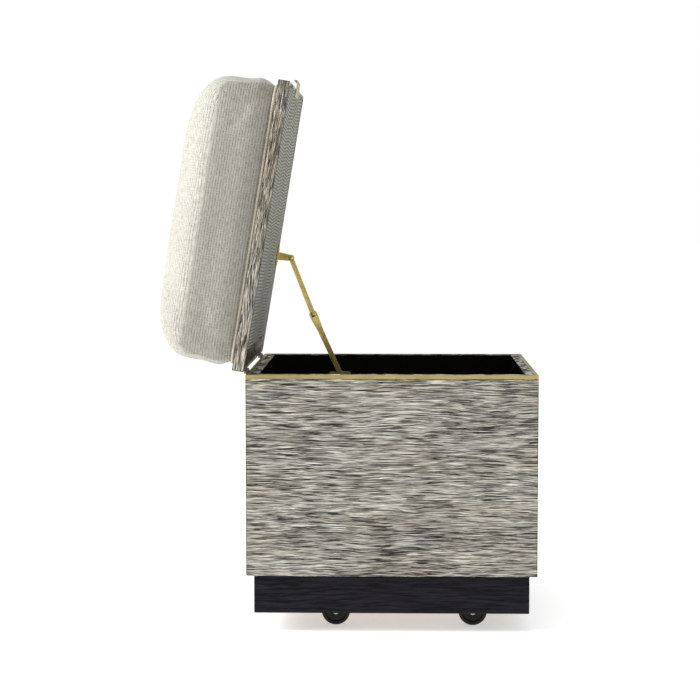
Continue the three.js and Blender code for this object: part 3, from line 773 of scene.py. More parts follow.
@dataclass(frozen=True)
class EmbossedCloth(Coat):
    """Grey-green lining cloth with a small broken herringbone, with painted shade in the valleys of its ribs."""

    ground: Colour = paint(168, 168, 154)
    shade: Colour = paint(84, 87, 77)
    rib: float = 5.2 * MM
    column: float = 190 * MM
    wave: float = 4.5 * MM

    def lay(self, finish: Finish, graph: Graph, place: NodeSocket) -> None:
        """Fills the material's tree."""
        x, _, z = graph.split(place)
        column = graph.over(x, self.column)
        fold = graph.math("ABSOLUTE", graph.minus(graph.math("FRACT", column), 0.5))
        wobble = graph.noise(place, (160, 160, 160))
        slope = graph.times(fold, 2 * self.wave)
        lane = graph.plus(graph.plus(z, slope), graph.times(wobble, 0.0012))
        ribs = graph.math("SINE", graph.times(lane, 2 * math.pi / self.rib))
        soft = graph.noise(place, (900, 900, 900))
        height = graph.plus(graph.ramp(ribs, -0.9, 0.9), graph.times(soft, 0.6))
        mottle = finish.group(mottle_group(), Place=place, Size=0.07)
        # painted shade: the colour follows the rib height, darker in the valleys, the ground colour on the ridges
        colour = graph.tint(height, 0.7, self.shade, self.ground)
        colour = graph.tint(mottle["Patch"], 0.12, colour, self.shade)
        finish.set(Base_Color=colour, Roughness=0.88, Specular_IOR_Level=0.2, Sheen_Weight=0.08)
        finish.bump(height, 0.0006, 0.8)


@dataclass(frozen=True)
class Felt(Coat):
    """Black felt that drinks the light, with short stray fibres."""

    ground: Colour = paint(14, 14, 11)
    fibre: Colour = paint(34, 34, 29)

    def lay(self, finish: Finish, graph: Graph, place: NodeSocket) -> None:
        """Fills the material's tree."""
        nap = graph.noise(place, (1400, 1400, 1400), detail=3, roughness=0.7)
        strands = graph.noise(place, (120, 900, 500))
        share = graph.times(graph.ramp(nap, 0.45, 0.75), graph.ramp(strands, 0.4, 0.7))
        mottle = finish.group(mottle_group(), Place=place, Size=0.08)
        colour = graph.tint(share, 0.8, self.ground, self.fibre)
        colour = graph.tint(mottle["Dust"], 0.12, colour, self.fibre)
        finish.set(Base_Color=colour, Roughness=1.0, Specular_IOR_Level=0.0)
        finish.bump(nap, 0.0005, 0.5)


@dataclass(frozen=True)
class WheelRubber(Coat):
    """Matt black tread with a trace of dust."""

    ground: Colour = paint(20, 18, 13)
    dust: Colour = paint(64, 60, 52)

    def lay(self, finish: Finish, graph: Graph, place: NodeSocket) -> None:
        """Fills the material's tree."""
        mottle = finish.group(mottle_group(), Place=place, Size=0.02)
        grit = graph.noise(place, (1800, 1800, 1800))
        share = graph.times(mottle["Patch"], graph.ramp(grit, 0.5, 0.8))
        colour = graph.tint(share, 0.4, self.ground, self.dust)
        rough = graph.ramp(grit, 0.3, 0.7, 0.5, 0.72)
        finish.set(Base_Color=colour, Roughness=rough, Specular_IOR_Level=0.4)
        finish.bump(grit, 0.00008, 0.5)


def laid_both_ways(finish: Coat) -> dict[str, Material]:
    """A finish laid along each side's length: across at the front and rear, deep at the sides.

    Args:
        finish: the finish; its name is the start of both materials' names.

    Returns:
        The material of each side.
    """
    across = replace(finish, name=f"{finish.name}_across", along=Along.X).make()
    deep = replace(finish, name=f"{finish.name}_deep", along=Along.Y).make()
    return {side: across if side in ENDS else deep for side in SIDES}


BRASS = paint(182, 166, 106)
BRASS_TARNISH = paint(144, 127, 72)
BRONZED = paint(44, 40, 34)
BRONZED_WORN = paint(24, 22, 19)


# ---------------------------------------------------------------- repeated small pieces


def grow(obj: Object, tree: NodeTree, **values: object) -> Object:
    """Runs a Geometry Nodes tree on an object and keeps the result as its mesh.

    Args:
        obj: the object whose points or edges the tree works on.
        tree: the tree.
        **values: the tree's inputs, with _ for spaces; each is set by its socket's identifier.

    Returns:
        The same object.
    """
    modifier = obj.modifiers.new(tree.name, "NODES")
    modifier.node_group = tree
    sockets = {item.name: item.identifier for item in tree.interface.items_tree if item.in_out == "INPUT"}
    for key, value in values.items():
        modifier[sockets[key.replace("_", " ")]] = value
    return bake_modifiers(obj)


def geometry_tree(name: str, inputs: dict[str, tuple[str, object]],
                  build: Callable[[Graph, dict], tuple]) -> NodeTree:
    """A Geometry Nodes tree that puts one shape on many points, made once.

    Args:
        name: the tree's name.
        inputs: socket type and default value of each named input besides Geometry and Material.
        build: fills the tree; it gets the graph and the inputs, and gives the points, the shape and the turn.

    Returns:
        The tree, which ends in real pieces with their material on.
    """
    tree = bpy.data.node_groups.get(name)
    if tree:
        return tree
    tree = bpy.data.node_groups.new(name, "GeometryNodeTree")
    tree.interface.new_socket("Geometry", in_out="INPUT", socket_type="NodeSocketGeometry")
    for key, (kind, default) in inputs.items():
        tree.interface.new_socket(key, in_out="INPUT", socket_type=kind).default_value = default
    tree.interface.new_socket("Material", in_out="INPUT", socket_type="NodeSocketMaterial")
    tree.interface.new_socket("Geometry", in_out="OUTPUT", socket_type="NodeSocketGeometry")
    graph = Graph(tree)
    given = graph.add("NodeGroupInput").outputs
    points, shape, turn = build(graph, given)
    copies = {"Points": points, "Instance": shape, "Rotation": turn}
    placed = graph.add("GeometryNodeInstanceOnPoints", copies)
    real = graph.add("GeometryNodeRealizeInstances", {"Geometry": placed.outputs["Instances"]})
    clothed = {"Geometry": real.outputs[0], "Material": given["Material"]}
    dressed = graph.add("GeometryNodeSetMaterial", clothed)
    graph.add("NodeGroupOutput", {"Geometry": dressed.outputs[0]})
    return tree


def screw_tree() -> NodeTree:
    """Cross-recessed screw heads on points, each turned to face its own way and stopped at its own angle."""

    def build(graph: Graph, given: dict) -> tuple[NodeSocket, NodeSocket, NodeSocket]:
        """Fills the tree."""
        radius, height, recess = given["Head radius"], given["Head height"], given["Recess width"]
        head = graph.add("GeometryNodeMeshCone", {
            "Vertices": 20, "Side Segments": 2, "Fill Segments": 1, "Radius Top": graph.times(radius, 0.66),
            "Radius Bottom": radius, "Depth": height,
        })
        whole = {"Mesh 1": head.outputs["Mesh"]}
        recessed = graph.add("GeometryNodeMeshBoolean", whole, operation="DIFFERENCE")
        long_side = graph.times(radius, 1.05)
        lift = graph.vector(0.0, 0.0, graph.times(height, 0.95))
        for size in ((long_side, recess), (recess, long_side)):
            slot = graph.add("GeometryNodeMeshCube", {"Size": graph.vector(*size, height)}).outputs["Mesh"]
            raised = graph.add("GeometryNodeTransform", {"Geometry": slot, "Translation": lift})
            graph.feed(recessed.inputs["Mesh 2"], raised.outputs["Geometry"])
        named = graph.add("GeometryNodeInputNamedAttribute", {"Name": "facing"}, data_type="FLOAT_VECTOR")
        facing = {"Vector": named.outputs["Attribute"]}
        aimed = graph.add("FunctionNodeAlignRotationToVector", facing, axis="Z")
        # the float sockets of a random value are its third and fourth
        half_turn = {2: 0.0, 3: math.pi, "Seed": given["Seed"]}
        spin = graph.add("FunctionNodeRandomValue", half_turn, data_type="FLOAT").outputs[1]
        turn = graph.add("FunctionNodeAxisAngleToRotation", {"Axis": (0, 0, 1), "Angle": spin})
        both = {"Rotation": aimed.outputs["Rotation"], "Rotate By": turn.outputs["Rotation"]}
        turned = graph.add("FunctionNodeRotateRotation", both, rotation_space="LOCAL")
        return given["Geometry"], recessed.outputs["Mesh"], turned.outputs["Rotation"]

    return geometry_tree("screw_heads", {
        "Head radius": ("NodeSocketFloat", 2.6 * MM),
        "Head height": ("NodeSocketFloat", 0.7 * MM),
        "Recess width": ("NodeSocketFloat", 0.7 * MM),
        "Seed": ("NodeSocketInt", 3),
    }, build)


@dataclass
class Screws:
    """Screws of one size on one body."""

    name: str
    body: str
    slot: str
    radius: float = 2.6 * MM
    height: float = 0.7 * MM
    seed: int = 3
    places: list[Vector] = field(default_factory=list)
    facings: list[Vector] = field(default_factory=list)

    def add(self, place: Sequence[float], facing: Sequence[float], frame_of: Matrix | None = None) -> None:
        """Adds one screw.

        Args:
            place: the point on the surface under its head.
            facing: the way its head faces.
            frame_of: the frame that both are given in, or None for the model's own.
        """
        frame_of = frame_of or Matrix.Identity(4)
        self.places.append(frame_of @ Vector(place))
        self.facings.append((frame_of.to_3x3() @ Vector(facing)).normalized())

    def build(self, material: Material) -> Object:
        """Makes the heads and hands them over."""
        points = mesh_from(self.name, self.places)
        facing = points.data.attributes.new("facing", "FLOAT_VECTOR", "POINT")
        facing.data.foreach_set("vector", [value for way in self.facings for value in way])
        grow(points, screw_tree(), Head_radius=self.radius, Head_height=self.height,
             Recess_width=self.radius * 0.26, Seed=self.seed, Material=material)
        return hand_over(points, self.body)


def stitch_tree() -> NodeTree:
    """Short threads laid end to end along a line."""

    def build(graph: Graph, given: dict) -> tuple[NodeSocket, NodeSocket, NodeSocket]:
        """Fills the tree."""
        line = graph.add("GeometryNodeMeshToCurve", {"Mesh": given["Geometry"]})
        spaced = {"Curve": line.outputs["Curve"], "Length": given["Pitch"]}
        points = graph.add("GeometryNodeCurveToPoints", spaced, mode="LENGTH").outputs
        ball = graph.add("GeometryNodeMeshUVSphere", {"Segments": 6, "Rings": 6, "Radius": 1.0})
        radius, half = given["Thread radius"], graph.times(given["Thread length"], 0.5)
        drawn_out = {"Geometry": ball.outputs["Mesh"], "Scale": graph.vector(radius, radius, half)}
        thread = graph.add("GeometryNodeTransform", drawn_out)
        smooth = graph.add("GeometryNodeSetShadeSmooth", {"Geometry": thread.outputs["Geometry"]})
        return points["Points"], smooth.outputs["Geometry"], points["Rotation"]

    return geometry_tree("stitches", {
        "Pitch": ("NodeSocketFloat", 4.0 * MM),
        "Thread length": ("NodeSocketFloat", 3.1 * MM),
        "Thread radius": ("NodeSocketFloat", 0.35 * MM),
    }, build)


# ---------------------------------------------------------------- box


@dataclass
class Box:
    """Veneered walls, brass bar round the rim, bottom board and black lining."""

    wall_edge: float = 0.35 * MM
    strip_edge: float = 0.3 * MM
    board_edge: float = 0.4 * MM

    def build(self) -> None:
        """Dresses every piece of the box."""
        walls = laid_both_ways(CerusedOak("oak_veneer"))
        strips = laid_both_ways(Metal("brass_bar", BRASS, BRASS_TARNISH, 0.3, lines=0.8))
        felt = Felt("black_felt").make()
        for side in SIDES:
            refined(f"wall_{side}", walls[side], self.wall_edge)
            refined(f"brass_strip_{side}", strips[side], self.strip_edge)
            refined(f"lining_{side}", felt, self.board_edge)
        refined("lining_floor", felt, self.board_edge)
        refined("bottom_board", LayeredBoard("bottom_plywood").make(), self.board_edge)


@dataclass
class Plinth:
    """Recessed stained plinth with the two rails that carry the casters."""

    edge: float = 0.8 * MM

    def build(self) -> None:
        """Dresses the plinth boards and rails."""
        boards = laid_both_ways(StainedWood("stained_wood"))
        plywood = LayeredBoard("rail_plywood").make()
        for side in SIDES:
            refined(f"plinth_rail_{side}", boards[side], self.edge)
        for end in ENDS:
            refined(f"caster_rail_{end}", plywood, self.edge)


# ---------------------------------------------------------------- casters


def lathe_x(name: str, profile: Sequence[tuple[float, float]], centre: Vector, steps: int) -> Object:
    """Turns a closed profile about the X axis.

    Args:
        name: the piece's name.
        profile: (place along X, radius) pairs round the closed section, none of them on the axis.
        centre: the middle of the turned piece.
        steps: facets round the axis.

    Returns:
        The turned ring.
    """
    points = []
    for step in range(steps):
        angle = 2 * math.pi * step / steps
        for x, radius in profile:
            points.append(centre + Vector((x, radius * math.cos(angle), radius * math.sin(angle))))
    ring = mesh_from(name, points, bridge(steps, len(profile), closed=True))
    edit(ring, merge_doubles)
    return ring


def arc(centre: tuple[float, float], radius: float, start: float, end: float,
        steps: int) -> list[tuple[float, float]]:
    """Points on an arc.

    Args:
        centre: its middle.
        radius: its radius.
        start: the angle of its first point, in degrees.
        end: the angle of its last point.
        steps: parts between the first and the last.

    Returns:
        The points, one more than there are parts.
    """
    angles = [math.radians(start + (end - start) * step / steps) for step in range(steps + 1)]
    return [(centre[0] + radius * math.cos(a), centre[1] + radius * math.sin(a)) for a in angles]


@dataclass
class Casters:
    """Four swivel casters: plate, fork, axle and a wheel with a moulded tread and pressed hub."""

    tread_corner: float = 4.2 * MM
    web_dish: float = 2.4 * MM
    hub_radius: float = 8 * MM
    bore: float = 3.4 * MM
    plate_thickness: float = 2.5 * MM
    hole_inset: float = 6 * MM
    facets: int = 72
    edge: float = 0.35 * MM
    plate_edge: float = 0.3 * MM
    axle_edge: float = 0.25 * MM

    def wheel_profile(self, half: float, radius: float) -> list[tuple[float, float]]:
        """Section of the wheel.

        Args:
            half: half its width.
            radius: its radius.

        Returns:
            (place along the axle, radius) pairs round the section.
        """
        corner = self.tread_corner
        web = radius - corner - 2 * MM
        side = arc((half - corner, radius - corner), corner, 90, 0, 6)
        face = [
            (half - 0.5 * MM, web + 0.6 * MM),
            (half - self.web_dish, web - 0.6 * MM),
            (half - self.web_dish, self.hub_radius + 2.2 * MM),
            (half - 0.4 * MM, self.hub_radius + 0.8 * MM),
            (half, self.hub_radius - 0.2 * MM),
            (half, self.bore + 0.4 * MM),
            (half - 0.4 * MM, self.bore),
        ]
        right = side + face
        left = [(-x, r) for x, r in reversed(right)]
        crown = [(x * (half - corner), radius) for x in (-0.5, 0.0, 0.5)]
        return right + left + crown

    def build(self) -> None:
        """Builds the wheels and dresses the metal pieces."""
        metal = Metal("black_zinc", paint(40, 38, 34), BRONZED_WORN, 0.42, wear=0.35).make()
        steel = Metal("bright_steel", paint(168, 166, 160), paint(120, 116, 108), 0.3).make()
        rubber = WheelRubber("wheel_rubber").make()
        screws = Screws("caster_screws", "box", "bright_steel", radius=3.4 * MM, height=1.6 * MM, seed=11)
        for end in ENDS:
            for hand in HANDS:
                place = f"{end}_{hand}"
                low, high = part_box(f"caster_wheel_{place}")
                profile = self.wheel_profile((high.x - low.x) / 2, (high.z - low.z) / 2)
                wheel = lathe_x(f"caster_wheel_{place}_turned", profile, (low + high) / 2, self.facets)
                round_edges(wheel, self.edge, sharper_than=24)
                hand_over(wheel, f"wheel_{place}", rubber, [f"caster_wheel_{place}"])
                refined(f"caster_plate_{place}", metal, self.plate_edge)
                refined(f"caster_fork_{place}", metal, self.edge)
                refined(f"caster_axle_{place}", steel, self.axle_edge)
                low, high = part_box(f"caster_plate_{place}")
                for x in (low.x + self.hole_inset, high.x - self.hole_inset):
                    for y in (low.y + self.hole_inset, high.y - self.hole_inset):
                        screws.add((x, y, high.z - self.plate_thickness), (0, 0, -1))
        screws.build(steel)


# ---------------------------------------------------------------- hinges


@dataclass
class Hinges:
    """Two dark butt hinges screwed to the rear faces of the box and the lid."""

    leaf_face: float = 1.4 * MM  # hinge axis to the leaf's outer face
    box_row: float = 12.5 * MM
    lid_row: float = 10 * MM
    screw_spread: float = 20 * MM
    stagger: float = 2.5 * MM
    leaf_edge: float = 0.25 * MM
    pin_edge: float = 0.3 * MM

    def build(self) -> None:
        """Dresses the leaves and pins and adds the screws."""
        bronzed = Metal("bronzed_brass", BRONZED, BRONZED_WORN, 0.4, wear=0.5).make()
        steel = Metal("pin_steel", paint(150, 146, 138), paint(96, 92, 84), 0.32).make()
        axis = Vector(LID_JOINT["pos_m"])
        on_box = Screws("hinge_screws_box", "box", "hinge_metal", seed=5)
        on_lid = Screws("hinge_screws_lid", "lid", "hinge_metal", seed=8)
        for hand in HANDS:
            refined(f"hinge_box_leaf_{hand}", bronzed, self.leaf_edge)
            refined(f"hinge_lid_leaf_{hand}", bronzed, self.leaf_edge)
            refined(f"hinge_pin_{hand}", steel, self.pin_edge, 3)
            low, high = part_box(f"hinge_box_leaf_{hand}")
            middle = (low.x + high.x) / 2
            for step in (-1, 0, 1):
                x = middle + step * self.screw_spread
                stagger = self.stagger * (step == 0)
                on_box.add((x, axis.y - self.leaf_face, axis.z - self.box_row - stagger), (0, 1, 0))
                on_lid.add((x, -self.leaf_face, self.lid_row + stagger * 0.6), (0, 1, 0), LID_FRAME)
        on_box.build(bronzed)
        on_lid.build(bronzed)


# ---------------------------------------------------------------- lid


@dataclass
class Lid:
    """Core board, oak lippings, cloth panel underneath and the brass pull tab."""

    tab_sheet: float = 1.2 * MM
    tab_bend: float = 2.2 * MM
    tab_bead: float = 0.9 * MM
    tab_corner: float = 3 * MM
    tab_screw_spread: float = 25 * MM
    tab_screw_inset: float = 7 * MM
    tab_edge: float = 0.25 * MM
    lipping_edge: float = 0.5 * MM
    board_edge: float = 0.4 * MM
    panel_edge: float = 0.7 * MM

    def pull_tab(self, material: Material) -> Object:
        """A bent brass tab: plate under the board, rounded bend and a lip with a rolled bead.

        Args:
            material: the tab's brass.

        Returns:
            The tab, in place.
        """
        low, high = lid_box("pull_tab")
        sheet, bend, bead, corner = self.tab_sheet, self.tab_bend, self.tab_bead, self.tab_corner
        y_lip, y_end, z_low, z_lip = low.y, high.y, low.z, high.z
        middle = (y_lip + bend, z_low + bend)
        outer = [(y_end, z_low), *arc(middle, bend, 270, 180, 6), (y_lip, z_lip - bead)]
        roll = arc((y_lip + bead, z_lip - bead), bead, 180, -30, 8)
        inner = [(y_lip + sheet, z_lip - 2.2 * bead), *arc(middle, bend - sheet, 180, 270, 5)]
        section = [*outer, *roll, *inner, (y_end, z_low + sheet)]
        insets = ((0.0, corner), (corner * 0.3, corner * 0.3), (corner, 0.0))
        stations = [(low.x + along, inset) for along, inset in insets]
        stations += [(high.x - along, inset) for along, inset in reversed(insets)]
        points = []
        for x, inset in stations:
            for y, z in section:
                pulled = min(y, y_end - inset) if y > y_lip + bend else y
                points.append((x, pulled, z))
        faces: list[Sequence[int]] = list(bridge(len(stations), len(section)))
        faces += [range(len(section)), range(len(points) - len(section), len(points))]
        tab = mesh_from("pull_tab_bent", points, faces)
        edit(tab, merge_doubles)
        place_in_lid(tab)
        round_edges(tab, self.tab_edge, sharper_than=35)
        return hand_over(tab, "lid", material, ["pull_tab"])

    def build(self) -> None:
        """Dresses the lid's pieces."""
        fine = CerusedOak("oak_lipping", tilt=OPEN_ANGLE, streak_length=0.022, streak_width=0.00125)
        lippings = laid_both_ways(replace(fine, middle=paint(158, 150, 132)))
        brown = (paint(30, 22, 14), paint(74, 58, 40), paint(84, 68, 50))
        core = StainedWood("dark_core", *brown, tilt=OPEN_ANGLE).make()
        cloth = EmbossedCloth("embossed_cloth", tilt=OPEN_ANGLE).make()
        brass = Metal("tab_brass", paint(214, 200, 150), paint(176, 158, 104), 0.28, tilt=OPEN_ANGLE).make()
        for side in SIDES:
            refined(f"lid_lipping_{side}", lippings[side], self.lipping_edge)
        refined("lid_board", core, self.board_edge)
        refined("lid_panel", cloth, self.panel_edge, 3)
        self.pull_tab(brass)
        low, high = lid_box("pull_tab")
        screws = Screws("pull_tab_screws", "lid", "tab_brass", radius=2.2 * MM, height=0.3 * MM, seed=2)
        for sign in (-1, 1):
            place = (sign * self.tab_screw_spread, high.y - self.tab_screw_inset, low.z)
            screws.add(place, (0, 0, -1), LID_FRAME)
        screws.build(brass)


# ---------------------------------------------------------------- cushion


@dataclass
class Cushion:
    """Linen cushion: two flat side panels and a strip that runs up the front, over the top and down the back.

    Heights are above the board. The section's rounding grows squarer with its power.
    """

    widest_at: float = 57 * MM
    crown: float = 136 * MM
    power: float = 3.3
    plan_power: float = 12.0
    foot: float = 0.6 * MM
    depth: float = 2.3  # of the form below its widest place, before its foot cuts it off
    rings: int = 60
    spokes: int = 120
    voxel: float = 6 * MM
    start_inset: float = 3 * MM
    held_below: float = 9 * MM
    cap: float = 4 * MM
    frames: int = 20
    pressure: float = 9.0
    overfill: float = 4.5 * MM
    shoulder: float = 87 * MM
    seam_inset: float = 5 * MM
    seam_lean: float = 10 * MM
    seam_bow: float = 1.6
    seam_corner: float = 14 * MM
    seam_rise_steps: int = 24
    seam_run_steps: int = 110
    groove: float = 0.5 * MM
    groove_width: float = 2.6 * MM
    pull: float = 1.0 * MM
    pull_width: float = 13 * MM
    unevenness: float = 0.9 * MM
    tuck: float = 5.4 * MM  # how far the foot stays inside the piping's outside
    panel_from: float = 0.8  # of the half width, where the side panels begin
    piping_corner: float = 28 * MM
    piping_run: int = 60
    piping_around: int = 14

    def __post_init__(self) -> None:
        """Reads the lid's middle, the board's top and the cushion's sides from the CAD nodes."""
        low, high = lid_box("cushion")
        ring_low, ring_high = lid_box("piping")
        _, board_high = lid_box("lid_lipping_front")
        self.middle = (low.y + high.y) / 2
        self.board = board_high.z
        self.half_x = (high.x - low.x) / 2
        self.half_y = (high.y - low.y) / 2
        self.ring_x = (ring_high.x - ring_low.x) / 2
        self.ring_y = (ring_high.y - ring_low.y) / 2
        self.ring_top = ring_high.z - self.board

    def to_lid(self, x: float, y: float, h: float) -> Vector:
        """A point of the lid's frame from a place about the cushion's middle and a height above the board."""
        return Vector((x, self.middle + y, self.board + h))

    def form(self, shrink: float) -> Object:
        """The closed pillow that the cloth starts from, about the middle of its own foot.

        Args:
            shrink: how far it stays inside the full size on every side.

        Returns:
            The pillow.
        """

        def squared(value: float, power: float) -> float:
            """A sine or cosine made squarer by a power, with its own sign."""
            return math.copysign(abs(value) ** (2 / power), value)

        half_x, half_y = self.half_x - shrink, self.half_y - shrink
        up, down = self.crown - self.widest_at - shrink, self.depth * self.widest_at
        foot, rings, spokes = self.foot, self.rings, self.spokes
        points = [(0.0, 0.0, self.widest_at + up)]
        for ring in range(1, rings):
            polar = math.pi * ring / rings
            reach, level = squared(math.sin(polar), self.power), squared(math.cos(polar), self.power)
            h = max(self.widest_at + level * (up if level > 0 else down), foot)
            for spoke in range(spokes):
                turn = 2 * math.pi * spoke / spokes
                x = squared(math.cos(turn), self.plan_power)
                y = squared(math.sin(turn), self.plan_power)
                points.append((half_x * reach * x, half_y * reach * y, h))
        points.append((0.0, 0.0, foot))
        faces = []
        for spoke in range(spokes):
            after = (spoke + 1) % spokes
            faces.append((0, 1 + spoke, 1 + after))
            last = 1 + (rings - 2) * spokes
            faces.append((last + after, last + spoke, len(points) - 1))
            for ring in range(rings - 2):
                here, there = 1 + ring * spokes, 1 + (ring + 1) * spokes
                faces.append((here + spoke, there + spoke, there + after, here + after))
        return mesh_from("cushion_cover", points, faces)

    def coordinates(self, obj: Object) -> np.ndarray:
        """Vertex places of an object as an array."""
        values = np.zeros(len(obj.data.vertices) * 3, np.float32)
        obj.data.vertices.foreach_get("co", values)
        return values.reshape(-1, 3).astype(float)

    def put(self, obj: Object, places: np.ndarray) -> None:
        """Sets vertex places from an array."""
        obj.data.vertices.foreach_set("co", places.astype(np.float32).ravel())
        obj.data.update()

    def swell(self, obj: Object) -> None:
        """Fills the cover by cloth simulation with inner pressure, with no point moving past the cap."""
        rest = self.coordinates(obj)
        held = obj.vertex_groups.new(name="held")
        held.add([i for i, point in enumerate(rest) if point[2] < self.held_below], 1.0, "REPLACE")
        cloth = obj.modifiers.new("cloth", "CLOTH")
        settings = cloth.settings
        settings.quality = 6
        settings.mass = 0.25
        settings.tension_stiffness = 18
        settings.compression_stiffness = 18
        settings.shear_stiffness = 8
        settings.bending_stiffness = 1.2
        settings.use_pressure = True
        settings.uniform_pressure_force = self.pressure
        settings.vertex_group_mass = "held"
        settings.effector_weights.gravity = 0.0
        cloth.collision_settings.use_collision = False
        cloth.point_cache.frame_start = 1
        cloth.point_cache.frame_end = self.frames
        scene = bpy.context.scene
        for number in range(1, self.frames + 1):
            scene.frame_set(number)
        simulated = obj.evaluated_get(bpy.context.evaluated_depsgraph_get())
        moved = np.array([vertex.co for vertex in simulated.to_mesh().vertices], float) - rest
        simulated.to_mesh_clear()
        obj.modifiers.remove(cloth)
        scene.frame_set(1)
        far = np.linalg.norm(moved, axis=1, keepdims=True)
        eased = self.cap * np.tanh(far / self.cap)
        log.info("cloth moved up to %.1f mm, %.1f mm on average", far.max() / MM, far.mean() / MM)
        self.put(obj, self.fill_out(rest + moved * eased / np.maximum(far, 1e-9)))

    def fill_out(self, places: np.ndarray) -> np.ndarray:
        """Stretches a simulated cover to the cushion's full size, leaving its foot where it is.

        Args:
            places: vertex places about the middle of the foot.

        Returns:
            The places after the stretch.
        """
        fixed_below, free_above = 4 * MM, 30 * MM
        free = np.clip((places[:, 2] - fixed_below) / (free_above - fixed_below), 0, 1)
        free = free * free * (3 - 2 * free)
        for axis, half in ((0, self.half_x), (1, self.half_y)):
            stretch = (half + self.overfill) / np.abs(places[:, axis]).max() - 1
            places[:, axis] *= 1 + stretch * free
        places[:, 2] *= 1 + ((self.crown + self.overfill) / places[:, 2].max() - 1) * free
        return places

    def seam_path(self) -> list[tuple[float, float]]:
        """One side panel's seam as (y, h): up its front corner, along its shoulder, down its back corner."""
        foot, rise, run = self.ring_top, self.seam_rise_steps, self.seam_run_steps
        front, rear = -self.half_y + self.seam_inset, self.half_y - self.seam_inset
        lean, corner, top = self.seam_lean, self.seam_corner, self.shoulder
        upright = []
        for step in range(rise):
            share = step / rise
            upright.append((front + lean * share**self.seam_bow, foot + (top - corner - foot) * share))
        upright += arc((front + lean + corner, top - corner), corner, 180, 90, 8)
        level = rear - front - 2 * lean - 2 * corner
        shoulder = [(front + lean + corner + level * step / run, top) for step in range(1, run)]
        return upright + shoulder + [(-y, h) for y, h in reversed(upright)]

    def seam_on(self, obj: Object, side: int) -> list[tuple[Vector, Vector]]:
        """The seam's points on the surface, with the surface's normal at each.

        Args:
            obj: the cover.
            side: -1 for the left panel, 1 for the right.

        Returns:
            The points that were found and their normals.
        """
        tree = BVHTree.FromObject(obj, bpy.context.evaluated_depsgraph_get())
        outside, corner_band, corner_depth, side_depth = 110 * MM, 20 * MM, 25 * MM, 30 * MM
        found = []
        for y, h in self.seam_path():
            if abs(y) > self.half_y - corner_band:
                y_inside = math.copysign(self.half_y - corner_depth, y)
                aim = Vector((side * (self.half_x - corner_depth), y_inside, h))
                out = Vector((side, math.copysign(1.0, y), 0.0)).normalized()
            else:
                aim = Vector((side * (self.half_x - side_depth), y * 0.93, h))
                out = Vector((side, 0.0, 0.0))
            hit, normal, _, _ = tree.ray_cast(aim + out * outside, -out)
            if hit:
                found.append((hit, normal))
        return found

    def pinch(self, obj: Object) -> None:
        """Pulls the cover in along the seams and tucks its foot inside the piping."""
        places = self.coordinates(obj)
        normals = np.array([vertex.normal for vertex in obj.data.vertices], float)
        line = np.array([point for side in (-1, 1) for point, _ in self.seam_on(obj, side)], float)
        near = np.empty(len(places))
        batch = 4000
        for start in range(0, len(places), batch):
            gap = places[start:start + batch, None, :] - line[None, :, :]
            near[start:start + batch] = np.linalg.norm(gap, axis=2).min(1)
        groove = self.groove * np.exp(-((near / self.groove_width) ** 2))
        pull = self.pull * np.exp(-((near / self.pull_width) ** 2))
        fade = np.clip((places[:, 2] - self.ring_top) / (8 * MM), 0, 1)
        places -= normals * ((groove + pull) * fade)[:, None]
        broad = np.array([noise.noise(Vector(point) * 14) for point in places])
        small = np.array([noise.noise(Vector(point) * 45) for point in places])
        places += normals * ((broad * 0.9 + small * 0.25) * self.unevenness * fade)[:, None]
        tucked_below = self.ring_top + 2 * MM
        share = np.clip((tucked_below - places[:, 2]) / (4 * MM), 0, 1)
        for axis, ring in ((0, self.ring_x), (1, self.ring_y)):
            over = np.maximum(np.abs(places[:, axis]) - (ring - self.tuck), 0)
            places[:, axis] -= np.sign(places[:, axis]) * over * share
        self.put(obj, places)

    def arc_lengths(self, half: float) -> tuple[np.ndarray, np.ndarray, np.ndarray]:
        """Distance along the middle section from its top.

        Args:
            half: half the section's width.

        Returns:
            Places across, heights and lengths.
        """
        angle = np.linspace(0, math.pi / 2, 400)
        across = half * np.sin(angle) ** (2 / self.power)
        height = self.widest_at + (self.crown - self.widest_at) * np.cos(angle) ** (2 / self.power)
        steps = np.hypot(np.diff(across), np.diff(height))
        return across, height, np.concatenate(([0], np.cumsum(steps)))

    def seam_depth(self, heights: np.ndarray) -> np.ndarray:
        """How far from the cushion's middle, front to back, the seam stands at each height."""
        seam = sorted((h, abs(y)) for y, h in self.seam_path() if y < 0)
        return np.interp(heights, [h for h, _ in seam], [y for _, y in seam])

    def strip_map(self, places: np.ndarray) -> np.ndarray:
        """Weave places on the strip: across it, and along it from the top of the cushion."""
        x, y, h = places.T
        across_x, _, run_x = self.arc_lengths(self.half_x)
        across_y, height_y, run_y = self.arc_lengths(self.half_y)
        by_y = np.interp(np.abs(y), across_y, run_y)
        by_h = np.interp(h, height_y[::-1], run_y[::-1])
        by_h = np.where(h < self.widest_at, run_y[-1] + self.widest_at - h, by_h)
        share = np.clip((np.abs(y) - 0.84 * self.half_y) / (0.1 * self.half_y), 0, 1)
        u = np.sign(x) * np.interp(np.abs(x), across_x, run_x)
        return np.stack([u, np.sign(y) * (by_y * (1 - share) + by_h * share)], 1)

